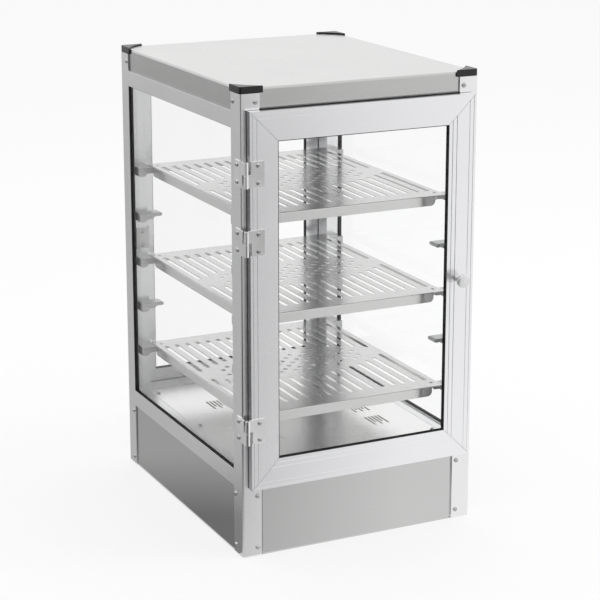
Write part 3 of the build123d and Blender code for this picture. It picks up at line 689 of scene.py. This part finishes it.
hingeShape = {
    "postKnuckleOnTop": (True, False, False),
    "height": 35.0, "axisX": 179.35, "axisY": 232.25,
    "barrel": 3.25, "barrelEdge": 0.3, "gap": 0.3, "steps": 28,
    "pin": 1.25, "pinTip": 0.9, "pinTaper": 0.4, "pinPlay": 0.05, "pinSteps": 16,
    "postLeafEnd": -202.0, "doorLeafEnd": -151.6,
    "postNotch": 3.0, "doorNotch": 5.1,
    "corner": 1.6, "notchCorner": 0.8, "cornerSteps": 5, "edge": 0.2,
}


def onHingeLine(profile, steps):
    return shift(spun(profile, steps), (-hingeShape["axisX"], -hingeShape["axisY"], 0))


def knuckle(low, high):
    h = hingeShape
    inner, outer, soft = h["pin"] + h["pinPlay"], h["barrel"], h["barrelEdge"]
    return onHingeLine([(inner, low), (outer - soft, low), (outer, low + soft), (outer, high - soft),
                        (outer - soft, high), (inner, high), (inner, low)], h["steps"])


def leafPlate(span, ownSpan, axis, notch, end):
    # flat leaf in a (reach, z) plane: full height from the notch on, half height beside its own knuckle
    h = hingeShape
    near, notched = -axis, -axis + h["barrel"] + notch
    upright = ownSpan[0] == span[0]
    (base, far), split = (span, ownSpan[1]) if upright else (span[::-1], ownSpan[0])
    corners = [(near, base, 0), (end, base, h["corner"]), (end, far, h["corner"]),
               (notched, far, h["notchCorner"]), (notched, split, 0), (near, split, 0)]
    loop = []
    for i, (a, b, radius) in enumerate(corners):
        if radius == 0:
            loop.append((a, b))
            continue
        here = Vector((a, b))
        toBefore, toAfter = ((Vector(corners[(i + step) % len(corners)][:2]) - here).normalized() * radius
                             for step in (-1, 1))
        centre = here + toBefore + toAfter
        for k in range(h["cornerSteps"] + 1):
            t = k / h["cornerSteps"] * pi / 2
            loop.append(tuple(centre - toAfter * cos(t) - toBefore * sin(t)))
    return sheetFromLoops([loop], caseSize["hingeLeaf"], h["edge"])


def allHinges():
    h, leaf = hingeShape, caseSize["hingeLeaf"]
    half = h["height"] / 2
    postLeaves, doorLeaves, pins = [], [], []
    for z, postOnTop in zip(caseSize["hingeHeights"], h["postKnuckleOnTop"]):
        low, high = z - half, z + half
        upper, lower = (z + h["gap"] / 2, high), (low, z - h["gap"] / 2)
        postSpan, doorSpan = (upper, lower) if postOnTop else (lower, upper)
        plate = leafPlate((low, high), postSpan, h["axisY"], h["postNotch"], h["postLeafEnd"])
        # the sheet lies in XY: its x becomes Y, its y becomes Z and its top faces -X, which mirrors it
        turnedBy(plate, Matrix(((0, 0, -1), (1, 0, 0), (0, 1, 0))))
        bmesh.ops.reverse_faces(plate, faces=plate.faces)
        postLeaves += [shift(plate, (-caseSize["half"][0] - leaf, 0, 0)), knuckle(*postSpan)]
        plate = leafPlate((low, high), doorSpan, h["axisX"], h["doorNotch"], h["doorLeafEnd"])
        # x stays X, y becomes Z and the top faces -Y
        turnedBy(plate, Matrix(((1, 0, 0), (0, 0, -1), (0, 1, 0))))
        doorLeaves += [shift(plate, (0, -caseSize["doorFront"] - leaf, 0)), knuckle(*doorSpan)]
        pin, tip, taper = h["pin"], h["pinTip"], h["pinTaper"]
        pins.append(onHingeLine([(0, low), (tip, low), (pin, low + taper), (pin, high - taper),
                                 (tip, high), (0, high)], h["pinSteps"]))
    for name, nodeName, shapes in (("hingePostLeaves", "hinge_post_leaves", postLeaves),
                                   ("hingePins", "hinge_pins", pins)):
        front = merged(shapes)
        finishPiece(name, merged([halfTurned(front), front]), nickel, "hinge_steel", [nodeName])
    finishOnDoors("HingeLeaves", "hinge_leaves", merged(doorLeaves), nickel, "hinge_steel")


allHinges()
print("hinges ready")


# doors

doorShape = {
    "half": 172.0, "low": 101.8, "high": 628.1,
    "member": 41.3, "thick": 10.0,
    "edgeLine": 3.1, "lip": 9.4, "flat": 30.4, "step": 36.7, "drop": 0.7,  # across a member, from its outer edge
    "outerLine": 0.8, "innerLine": 1.1, "lineDepth": 0.65,
    "channel": (5.0, 9.0), "seat": 33.3,  # for the pane and its rubber
    "mitreGap": 0.5, "edge": 0.22,
}


def doorMember(length):
    # runs along Z, outer edge on x = 0, outer face towards -Y on y = 0
    s = doorShape
    outer, inner, drop, member, thick = s["outerLine"], s["innerLine"], s["drop"], s["member"], s["thick"]
    front, back = s["channel"]
    lines = ((s["edgeLine"], outer, 0, 0), (s["lip"], outer, 0, 0),
             (s["flat"] - inner, inner, 0, drop), (s["step"] - inner, inner, drop, 2 * drop))
    outline = [(0, 0)]
    for at, width, before, after in lines:
        bottom = before + width * s["lineDepth"]
        outline += [(at, before), (at, bottom), (at + width, bottom), (at + width, after)]
    outline += [(member, 2 * drop), (member, front), (s["seat"], front), (s["seat"], back),
                (member, back), (member, thick), (0, thick)]
    shape = prism(outline, "z", -length / 2, length / 2)
    half = length / 2 - s["mitreGap"] / 2
    for end in (-1, 1):
        geometry = shape.verts[:] + shape.edges[:] + shape.faces[:]
        cut = bmesh.ops.bisect_plane(shape, geom=geometry, plane_co=(0, 0, end * half), plane_no=(1, 0, end),
                                     clear_outer=True)
        bmesh.ops.contextual_create(shape, geom=edgesOf(cut["geom_cut"]))
    return facedOut(shape)


def doorFrame():
    s = doorShape
    height = s["high"] - s["low"]
    middle = (0, -caseSize["doorFront"], (s["low"] + s["high"]) / 2)
    upright = shift(doorMember(height), (-s["half"], 0, 0))
    level = shift(doorMember(2 * s["half"]), (-height / 2, 0, 0))
    members = (("hinge_stile", upright, 0, "z"), ("latch_stile", upright, 180, "z"),
               ("top_rail", level, 90, "x"), ("bottom_rail", level, -90, "x"))
    for label, member, angle, axis in members:
        shape = shift(turn(member.copy(), angle, "Y"), middle)
        finishOnDoors("Door_" + label, label, shape, doorMetal[axis], "door_aluminium", bevel=s["edge"], smooth=30)
    upright.free()
    level.free()


doorFrame()

knobShape = {
    "x": 147.5, "steps": 48,
    "profile": ((0, 0), (5.2, 0), (5.5, 0.3), (5.5, 1.6), (5.0, 2.1), (4.3, 3.2), (3.9, 4.6), (3.9, 11.0),
                (4.8, 12.2), (7.55, 13.2), (9.25, 13.9), (9.75, 14.8), (9.75, 17.0), (9.25, 18.1),
                (8.25, 18.7), (6.75, 18.95), (0, 19.0)),  # radius and distance from the door
}


def doorKnobs():
    knob = turn(spun(knobShape["profile"], knobShape["steps"]), 90, "X")
    shift(knob, (knobShape["x"], -caseSize["doorFront"], caseSize["knobHeight"]))
    finishOnDoors("DoorKnob", "knob", knob, knobMetal, "knob_metal", smooth=40)


doorKnobs()
print("doors ready")


# shelves

shelfShape = {
    "tops": {"shelf_top": 479.68, "shelf_middle": 338.65, "shelf_bottom": 197.61},
    "half": (150.0, 191.0), "sheet": 1.0, "edge": 0.12,
    "corner": 2.0, "cornerCut": 0.6,
    "flange": 14.0, "bend": 1.5, "frontReach": 131.0, "sideReach": 167.0, "flangeCorner": 7.0,
    "columns": 17, "columnMargin": 12.8, "slotWidth": 6.2, "slotEnd": 160.0, "slotSteps": 4,
    "bowRadius": 238.0, "bowHeight": 63.5,  # the slots begin on this arc, beside a field of holes
    "holePitch": 23.5, "holeRadius": 4.0, "holeMargin": 12.0, "holeSide": 106.5, "holeSteps": 16,
    "holeRows": 3, "holeColumns": 9,  # each way from the middle
    "pegHole": 2.5, "pegInset": (11, 17), "pegSteps": 12,
}


def bowAt(x):
    s = shelfShape
    return s["bowHeight"] - s["bowRadius"] + sqrt(s["bowRadius"] ** 2 - x ** 2)


def shelfTray():
    s = shelfShape
    (w, d), bend, corner, cut = s["half"], s["bend"], s["corner"], s["cornerCut"]
    frontReach, sideReach = s["frontReach"], s["sideReach"]
    loops = [fourfold([(frontReach, d - bend), (frontReach, d), (w - corner, d), (w - cut, d - cut),
                       (w, d - corner), (w, sideReach), (w - bend, sideReach)])]
    pitch = 2 * (w - s["columnMargin"]) / (s["columns"] - 1)
    for column in range(s["columns"]):
        x = (column - (s["columns"] - 1) / 2) * pitch
        length = s["slotEnd"] - bowAt(x)
        for side in (-1, 1):
            loops.append(roundedLoop(x, side * (s["slotEnd"] - length / 2), s["slotWidth"], length,
                                     s["slotWidth"] / 2, s["slotSteps"]))
    for row in range(-s["holeRows"], s["holeRows"] + 1):
        y = row * s["holePitch"] / 2
        for column in range(-s["holeColumns"], s["holeColumns"] + 1):
            x = (column + 0.5 * (row % 2)) * s["holePitch"]
            if abs(x) < s["holeSide"] and abs(y) + s["holeRadius"] + s["holeMargin"] < bowAt(x):
                loops.append(circleLoop(x, y, s["holeRadius"], s["holeSteps"]))
    pegX, pegY = w - s["pegInset"][0], d - s["pegInset"][1]
    for x in (-pegX, pegX):
        loops += [circleLoop(x, y, s["pegHole"], s["pegSteps"]) for y in (-pegY, pegY)]
    parts = [sheetFromLoops(loops, s["sheet"], s["edge"])]
    parts += foldedPair(0, frontReach, d, bend, s["flange"], s["sheet"], s["flangeCorner"])
    parts += foldedPair(90, sideReach, w, bend, s["flange"], s["sheet"], s["flangeCorner"])
    return merged(parts)


tray = shelfTray()
for shelfName, top in shelfShape["tops"].items():
    shape = shift(tray.copy(), (0, 0, top))
    finishPiece(shelfName + "_tray", shape, shelfMetal, "shelf_steel", [shelfName], shelfName)
tray.free()
print("shelves ready")


# shelf brackets

bracketShape = {
    "levels": (196.61, 267.13, 337.65, 408.16, 478.68),
    "root": 170.9, "land": 162.9, "neck": 146.0, "tip": 135.5, "slope": 5.0,  # from the case's middle
    "tipThick": 5.5, "middleThick": 9.0, "rootThick": 13.0,
    "width": 20.0, "noseSteps": 8, "slopeSteps": 6, "edge": 0.6,
}


def easedStep(x0, z0, x1, z1):
    # a drop with a soft shoulder and a soft foot
    shares = [i / bracketShape["slopeSteps"] for i in range(1, bracketShape["slopeSteps"] + 1)]
    return [(x0 + (x1 - x0) * t, z0 + (z1 - z0) * (0.5 - 0.5 * cos(pi * t))) for t in shares]


def brackets():
    b = bracketShape
    root, land, neck, slope = -b["root"], -b["land"], -b["neck"], b["slope"]
    tipLow, middleLow, rootLow = -b["tipThick"], -b["middleThick"], -b["rootThick"]
    nose = b["tipThick"] / 2
    side = [(root, 0)]
    for i in range(b["noseSteps"] + 1):
        angle = pi * (0.5 - i / b["noseSteps"])
        side.append((-b["tip"] - nose + nose * cos(angle), -nose + nose * sin(angle)))
    side.append((neck, tipLow))
    side += easedStep(neck, tipLow, neck - slope, middleLow)
    side.append((land + slope, middleLow))
    side += easedStep(land + slope, middleLow, land, rootLow)
    side.append((root, rootLow))
    face = -caseSize["inner"][1]
    front = prism(side, "y", face, face + b["width"])
    left, right = [], []
    for level in b["levels"]:
        for one in (front.copy(), flipped(front, (1, -1, 1))):
            shift(one, (0, 0, level))
            right.append(flipped(one, (-1, 1, 1)))
            left.append(one)
    front.free()
    for name, shapes in (("Left", left), ("Right", right)):
        finishPiece("brackets" + name, merged(shapes), bracketMetal, "bracket_steel",
                    ["shelf_brackets_" + name.lower()], bevel=b["edge"], smooth=40)


brackets()


# floor deck

deckShape = {
    "size": (312.0, 375.4), "sheet": 1.0, "corner": 1.0, "edge": 0.1,
    "groups": ((95, -91), (95, -30), (-87, 77), (-75, -91)),  # middles of the vents, each of five slots
    "lengths": (37, 27, 37, 27, 37), "pitch": 5.5, "slot": 3.1,
}


def floorDeck():
    s = deckShape
    loops = [roundedLoop(0, 0, *s["size"], s["corner"], 2)]
    longest = max(s["lengths"])
    for cx, cy in s["groups"]:
        for i, length in enumerate(s["lengths"]):
            x = cx + (i - len(s["lengths"]) // 2) * s["pitch"]
            loops.append(roundedLoop(x, cy + (longest - length) / 2, s["slot"], length, s["slot"] / 2, 4))
    deck = shift(sheetFromLoops(loops, s["sheet"], s["edge"]), (0, 0, caseSize["deckTop"]))
    # the deck's paler copy of the sheet steel is painted light
    finishPiece("floorDeck", deck, deckPaintedLight, "sheet_steel", ["floor_deck"])


floorDeck()
print("brackets and deck ready")


# controls on the rear base panel, shaped about Z with the panel face on z = 0

controlShape = {
    "z": 52.0, "face": 215.0, "dialX": 95.025, "switchX": -95.025,
    "dial": {"foot": ((0, 0.5), (13.6, 0.5), (14, 0.9), (14, 3.0), (13.5, 3.5), (11, 4.3), (0, 4.3)), "steps": 48,
             "shaft": ((0, -10), (3, -10), (3, 0.8), (0, 0.8)), "shaftSteps": 24,  # both as radius and height
             "root": 11.0, "tip": 10.0, "low": 3.1, "rise": 12.0, "flutes": 18, "fluteDepth": 0.7,
             "dish": ((0.93, 0.4), (0.8, 0.0), (0.94, -0.5)),  # share of the ring before, and how far it rises
             "pointerWidth": 2.4, "pointerReach": (9.0, 13.0), "pointerHeight": (3.5, 15.5), "pointerEdge": 0.6},
    "rocker": {"width": 11.0, "half": 10.5, "draft": 1.0, "deep": 4.5, "dip": 2.6, "soft": 0.02, "steps": 8,
               "edge": 0.5, "sink": 0.5, "tilt": 8.0, "axle": 1.0, "axleReach": 1.2, "axleSteps": 16},
    "gland": {"hexagon": 9.0, "flange": (0.0, 5.0), "nut": (-5.0, -1.0), "edge": 0.5, "steps": 36,
              "body": ((4, -11), (6, -11), (6.4, -10.6), (6.4, 5.8), (7, 6.4), (7, 8.6), (6.6, 9.8), (5.6, 10.7),
                       (4.8, 11), (4, 10.4), (4, -11))},
}


def onRearPanel(shape, x):
    # stands a shape that was made along Z on the rear panel
    return shift(turn(shape, -90, "X"), (x, controlShape["face"], controlShape["z"]))


def fluted(d):
    # the grip of the dial: every fourth point of its rim is the bottom of a flute
    grip = bmesh.new()
    rim = bmesh.ops.create_circle(grip, cap_ends=True, segments=4 * d["flutes"], radius=d["root"])["verts"]
    for i, vert in enumerate(rim):
        vert.co *= 1 - (1, 0.5, 0, 0.5)[i % 4] * d["fluteDepth"] / d["root"]
    top = pull(grip, grip.faces[:], (0, 0, d["rise"]))
    bmesh.ops.scale(grip, verts=top, vec=(d["tip"] / d["root"], d["tip"] / d["root"], 1))
    facedOut(grip)
    cap = [f for f in grip.faces if f.normal.z > 0.9]
    for share, rise in d["dish"]:
        bmesh.ops.inset_region(grip, faces=cap, thickness=0.0)
        ring = list({v for f in cap for v in f.verts})
        bmesh.ops.scale(grip, verts=ring, vec=(share, share, 1))
        bmesh.ops.translate(grip, verts=ring, vec=(0, 0, rise))
    return shift(grip, (0, 0, d["low"]))


def thermostatDial():
    d = controlShape["dial"]
    side, (near, far) = d["pointerWidth"] / 2, d["pointerReach"]
    pointer = prism(rectangle(-side, near, side, far), "z", *d["pointerHeight"])
    bevelEdges(pointer, [e for e in pointer.edges if all(v.co.y > far - 0.1 for v in e.verts)], d["pointerEdge"])
    # the rear panel's turn brings the pointer down, where it rests
    dial = merged([spun(d["foot"], d["steps"]), fluted(d), pointer, spun(d["shaft"], d["shaftSteps"])])
    finishPiece("thermostatDial", onRearPanel(dial, controlShape["dialX"]), blackPlastic, "black_plastic",
                ["thermostat_dial"], "thermostat_dial", smooth=40)


def rockerButton():
    r = controlShape["rocker"]
    foot, deep, halfWidth = r["half"] - r["draft"], r["deep"], r["width"] / 2
    sharp = sqrt(r["soft"])
    side = [(-deep, -foot)]
    for i in range(2 * r["steps"] + 1):
        # two wings with a soft valley between them
        t = i / r["steps"] - 1
        rise = (sqrt(t * t + r["soft"]) - sharp) / (sqrt(1 + r["soft"]) - sharp)
        side.append((r["dip"] + (deep - r["dip"]) * rise, t * r["half"]))
    side.append((-deep, foot))
    button = prism(side, "x", -halfWidth, halfWidth)
    lips = [e for e in button.edges
            if all(v.co.y > 0 for v in e.verts) and e.is_manifold and e.calc_face_angle() > 0.6]
    bevelEdges(button, lips, r["edge"])
    reach, axleRadius = halfWidth + r["axleReach"], r["axle"]
    axle = spun([(0, -reach), (axleRadius, -reach), (axleRadius, reach), (0, reach)], r["axleSteps"])
    button = turn(merged([button, turn(axle, 90, "Y")]), -r["tilt"], "X")
    shift(button, (controlShape["switchX"], controlShape["face"] - r["sink"], controlShape["z"]))
    finishPiece("rockerButton", button, switchRed, "switch_red", ["rocker_switch"], "rocker_switch")


def cordGland():
    g = controlShape["gland"]
    parts = []
    for span in (g["flange"], g["nut"]):
        block = prism(circleLoop(0, 0, g["hexagon"], 6), "z", *span)
        bevelEdges(block, block.edges[:], g["edge"], 2)
        parts.append(block)
    parts.append(spun(g["body"], g["steps"]))
    finishPiece("cordGland", onRearPanel(merged(parts), 0), blackPlastic, "black_plastic", ["cord_gland"])


thermostatDial()
rockerButton()
cordGland()
print("controls ready")


# base panels

panelShape = {
    "top": 98.3, "setback": 2.0, "endGap": 1.7, "sheet": 1.0, "bend": 0.6, "edge": 0.1,
    "endReturn": 7.0, "topReturn": 12, "bottomReturn": 14, "foldOverlap": 0.1,
    "dialHole": 4.0, "glandHole": 6.5, "holeSteps": 24, "window": (15.2, 28.2), "windowCorner": 0.5,
}


def basePanel(reach, face, holes=()):
    # a sheet that stands on its outer face -Y, its ends bent inwards so a gap shows beside the posts
    p = panelShape
    bend, top, sheet, overlap = p["bend"], p["top"], p["sheet"], p["foldOverlap"]
    flat = rectangle(-top / 2, bend - reach, top / 2, reach - bend)
    parts = [sheetFromLoops([flat, *holes], sheet, p["edge"])]
    parts += foldedPair(0, top / 2, reach, bend, p["endReturn"], sheet)
    # the sheet's x turns up, its y runs along the case, its top faces -Y
    shell = turnedBy(merged(parts), Matrix(((0, -1, 0), (0, 0, -1), (1, 0, 0))))
    shift(shell, (0, -face, top / 2))
    inside, wide = sheet - face, reach - sheet - overlap
    folds = []
    for deep, low in ((p["topReturn"], top - sheet), (p["bottomReturn"], sheet)):
        strip = rectangle(-wide, inside - overlap, wide, inside + deep)
        folds.append(prism(strip, "z", low, low + sheet))
    return merged([shell, *folds])


def basePanels():
    p = panelShape
    x, y = (side - p["endGap"] for side in caseSize["inner"])
    faceX, faceY = (side - p["setback"] for side in caseSize["half"])
    up, (wide, high) = controlShape["z"] - p["top"] / 2, p["window"]
    holes = [circleLoop(up, controlShape["dialX"], p["dialHole"], p["holeSteps"]),
             circleLoop(up, 0, p["glandHole"], p["holeSteps"]),
             roundedLoop(up, controlShape["switchX"], high, wide, p["windowCorner"], 2)]
    for side, reach, face, openings, angle, axis in (
            ("front", x, faceY, (), 0, "x"), ("rear", x, faceY, holes, 180, "x"),
            ("left", y, faceX, (), -90, "y"), ("right", y, faceX, (), 90, "y")):
        panel = turn(basePanel(reach, face, openings), angle, "Z")
        finishPiece("basePanel_" + side, panel, sheetMetal[axis], "sheet_steel", ["base_panel_" + side])


basePanels()
print("base panels ready")


# finishes of the pieces that keep their shape

keptPieces = (
    (glass, ("side_glass_left", "side_glass_right", "front_door_glass", "rear_door_glass")),
    (rubber, ("side_glass_rubbers", "door_seals", "front_door_glass_rubber", "rear_door_glass_rubber")),
    (sheetMetal["x"], ("top_liner",)),
    # the near black base plate is painted shade
    (platePaintedShade, ("base_plate",)),
    (sheetMetal["z"], ("door_catches", "element_bracket", "front_door_strike", "rear_door_strike")),
    (blackPlastic, ("catch_magnets", "thermostat_body", "switch_housing")),
    (elementSteel, ("heating_element",)),
    (ceramic, ("terminal_block",)),
)
for material, kept in keptPieces:
    for nodeName in kept:
        for slot in nodes[nodeName].material_slots:
            slot.material = material
print("finishes ready")


# stage, light and camera

stageLook = {"floorSize": 60.0, "floorColour": 0.97, "floorRough": 0.9, "shadowShare": 0.25, "worldLight": 0.8}
white = (1, 1, 1, 1)


def seenPlainly(tree):
    # 1 for straight looks, reflections and looks through glass, 0 for the light that falls on things
    seen = addNode(tree, "LightPath").outputs
    plain = calculate(tree, "MAXIMUM", seen["Is Camera Ray"], seen["Is Glossy Ray"])
    return calculate(tree, "MAXIMUM", plain, seen["Is Transmission Ray"])


def floorMaterial():
    material, tree, shader = newMaterial("studioFloor")
    feed(tree, shader, {
        "Base Color": (*[stageLook["floorColour"]] * 3, 1),
        "Roughness": stageLook["floorRough"],
        "Specular IOR Level": 0.0,
    })
    share = calculate(tree, "MULTIPLY", seenPlainly(tree), 1 - stageLook["shadowShare"])
    blendSurface(tree, share, shader, addNode(tree, "Emission", {"Color": white, "Strength": 1.0}))
    return material


def flatSquare(name, size, centre, material):
    shape = bmesh.new()
    bmesh.ops.create_grid(shape, x_segments=1, y_segments=1, size=0.5)
    bmesh.ops.scale(shape, verts=shape.verts, vec=(*size, 1))
    shift(shape, (*centre, 0))
    mesh = meshFrom(shape, name)
    mesh.materials.append(material)
    return linked(name, mesh)


floor = flatSquare("studioFloor", [stageLook["floorSize"]] * 2, (0, 0), floorMaterial())

# glowing cards round the case, seen only in reflections: their ramps paint darker and lighter reflections into the
# metal
# a ramp is (start, gain along x, gain along y, lowest, highest) and the brightest ramp of a card counts
cardSetups = {
    "frontFloorCard": {"place": (0, 0, 0.002), "centre": (0, -3.10), "size": (12.0, 6.0), "ramps": (
        (0.947, 1.1, 0.583, 0.05, 0.90), (-0.17, 1.8, -0.88, 0.0, 0.42), (-0.465, -0.9, 0.44, 0.0, 0.42))},
    "leftFloorCard": {"place": (0, 0, 0.0025), "centre": (-3.07, 2.797), "size": (6.0, 6.0), "ramps": (
        (0.16, -0.54, 0.9, 0.22, 0.47),)},
    "rightFloorCard": {"place": (0, 0, 0.001), "centre": (2.93, 2.9), "size": (6.0, 6.0), "ramps": (
        (0.72, 1.0, -1.0, 0.43, 0.85),)},
    "cameraSideCard": {"place": (-3.6, -4.2, 2.0), "centre": (0, 0), "size": (9.0, 4.4), "ramps": (
        (0.35, 0, 0.5, 0.04, 0.8),), "facing": (0.65, 0.76, 0)},
}

paneShare = 0.35  # how much paler a card is behind a pane


def paintedReflectionCard(name, ramps):
    material, tree, shader = newMaterial(name)
    tree.nodes.remove(shader)
    place = addNode(tree, "TexCoord").outputs["Object"]
    brightest = None
    for start, gainX, gainY, lowest, highest in ramps:
        along = addNode(tree, "VectorMath", {0: place, 1: (gainX, gainY, 0)})
        along.operation = "DOT_PRODUCT"
        raised = calculate(tree, "ADD", along.outputs["Value"], start)
        bounded = addNode(tree, "Clamp", {"Value": raised, "Min": lowest, "Max": highest}).outputs["Result"]
        brightest = calculate(tree, "MAXIMUM", brightest, bounded) if brightest else bounded
    # metal sees a card through a pane too, a little paler, but a straight look through a pane misses it
    seen = addNode(tree, "LightPath").outputs
    behindPane = addNode(tree, "Clamp", {"Value": seen["Transmission Depth"], "Max": paneShare}).outputs["Result"]
    paler = addNode(tree, "Mix", {"Factor": behindPane, "A": brightest, "B": 1.0}).outputs["Result"]
    # the card glows as brightly as its ramp says: a painted reflection
    glow = addNode(tree, "Emission", {"Color": white, "Strength": paler})
    mirrored = calculate(tree, "GREATER_THAN", seen["Glossy Depth"], 0.5)
    blendSurface(tree, mirrored, addNode(tree, "BsdfTransparent"), glow)
    return material


def studioCards():
    for name, setup in cardSetups.items():
        card = flatSquare(name, setup["size"], setup["centre"], paintedReflectionCard(name, setup["ramps"]))
        card.location = setup["place"]
        if "facing" in setup:
            card.rotation_euler = Vector(setup["facing"]).to_track_quat("Z", "Y").to_euler()
        card.visible_camera = False
        card.visible_diffuse = False
        card.visible_volume_scatter = False
        card.visible_shadow = False


studioCards()


def studioWorld():
    world = bpy.data.worlds.new("studio")
    scene.world = world
    world.use_nodes = True
    tree = world.node_tree
    levels = {"Value": seenPlainly(tree), "To Min": stageLook["worldLight"], "To Max": 1.0}
    strength = addNode(tree, "MapRange", levels).outputs["Result"]
    feed(tree, tree.nodes["Background"], {"Color": white, "Strength": strength})


studioWorld()

softboxes = {
    "keySoftbox": {"place": (3.0, -1.9, 2.2), "aim": (0, 0, 0.35), "size": 1.6, "power": 34},
    "topSoftbox": {"place": (0.2, 0.6, 3.2), "aim": (0, 0, 0.6), "size": 2.0, "power": 16},
}
for name, setup in softboxes.items():
    lamp = bpy.data.lights.new(name, "AREA")
    lamp.size = setup["size"]
    lamp.energy = setup["power"]
    holder = linked(name, lamp)
    holder.location = setup["place"]
    aim = Vector(setup["aim"]) - Vector(setup["place"])
    holder.rotation_euler = aim.to_track_quat("-Z", "Y").to_euler()
    holder.visible_glossy = False
    holder.visible_transmission = False

cameraSetup = {
    "place": (-1.1749, -2.4304, 1.0589), "pitch": 13.979, "yaw": 26.043,
    "focalPixels": 1883.2, "framePixels": 600, "sensor": 36.0, "shiftUp": -0.1, "farthest": 100,
}


def photoCamera():
    c = cameraSetup
    data = bpy.data.cameras.new("photoCamera")
    data.sensor_width = c["sensor"]
    data.lens = c["focalPixels"] * c["sensor"] / c["framePixels"]
    data.shift_y = c["shiftUp"]
    data.clip_end = c["farthest"]
    camera = linked("photoCamera", data)
    camera.location = c["place"]
    camera.rotation_euler = (radians(90 - c["pitch"]), 0, radians(-c["yaw"]))
    scene.camera = camera


photoCamera()
scene.view_settings.view_transform = "Standard"
print("stage and camera ready")
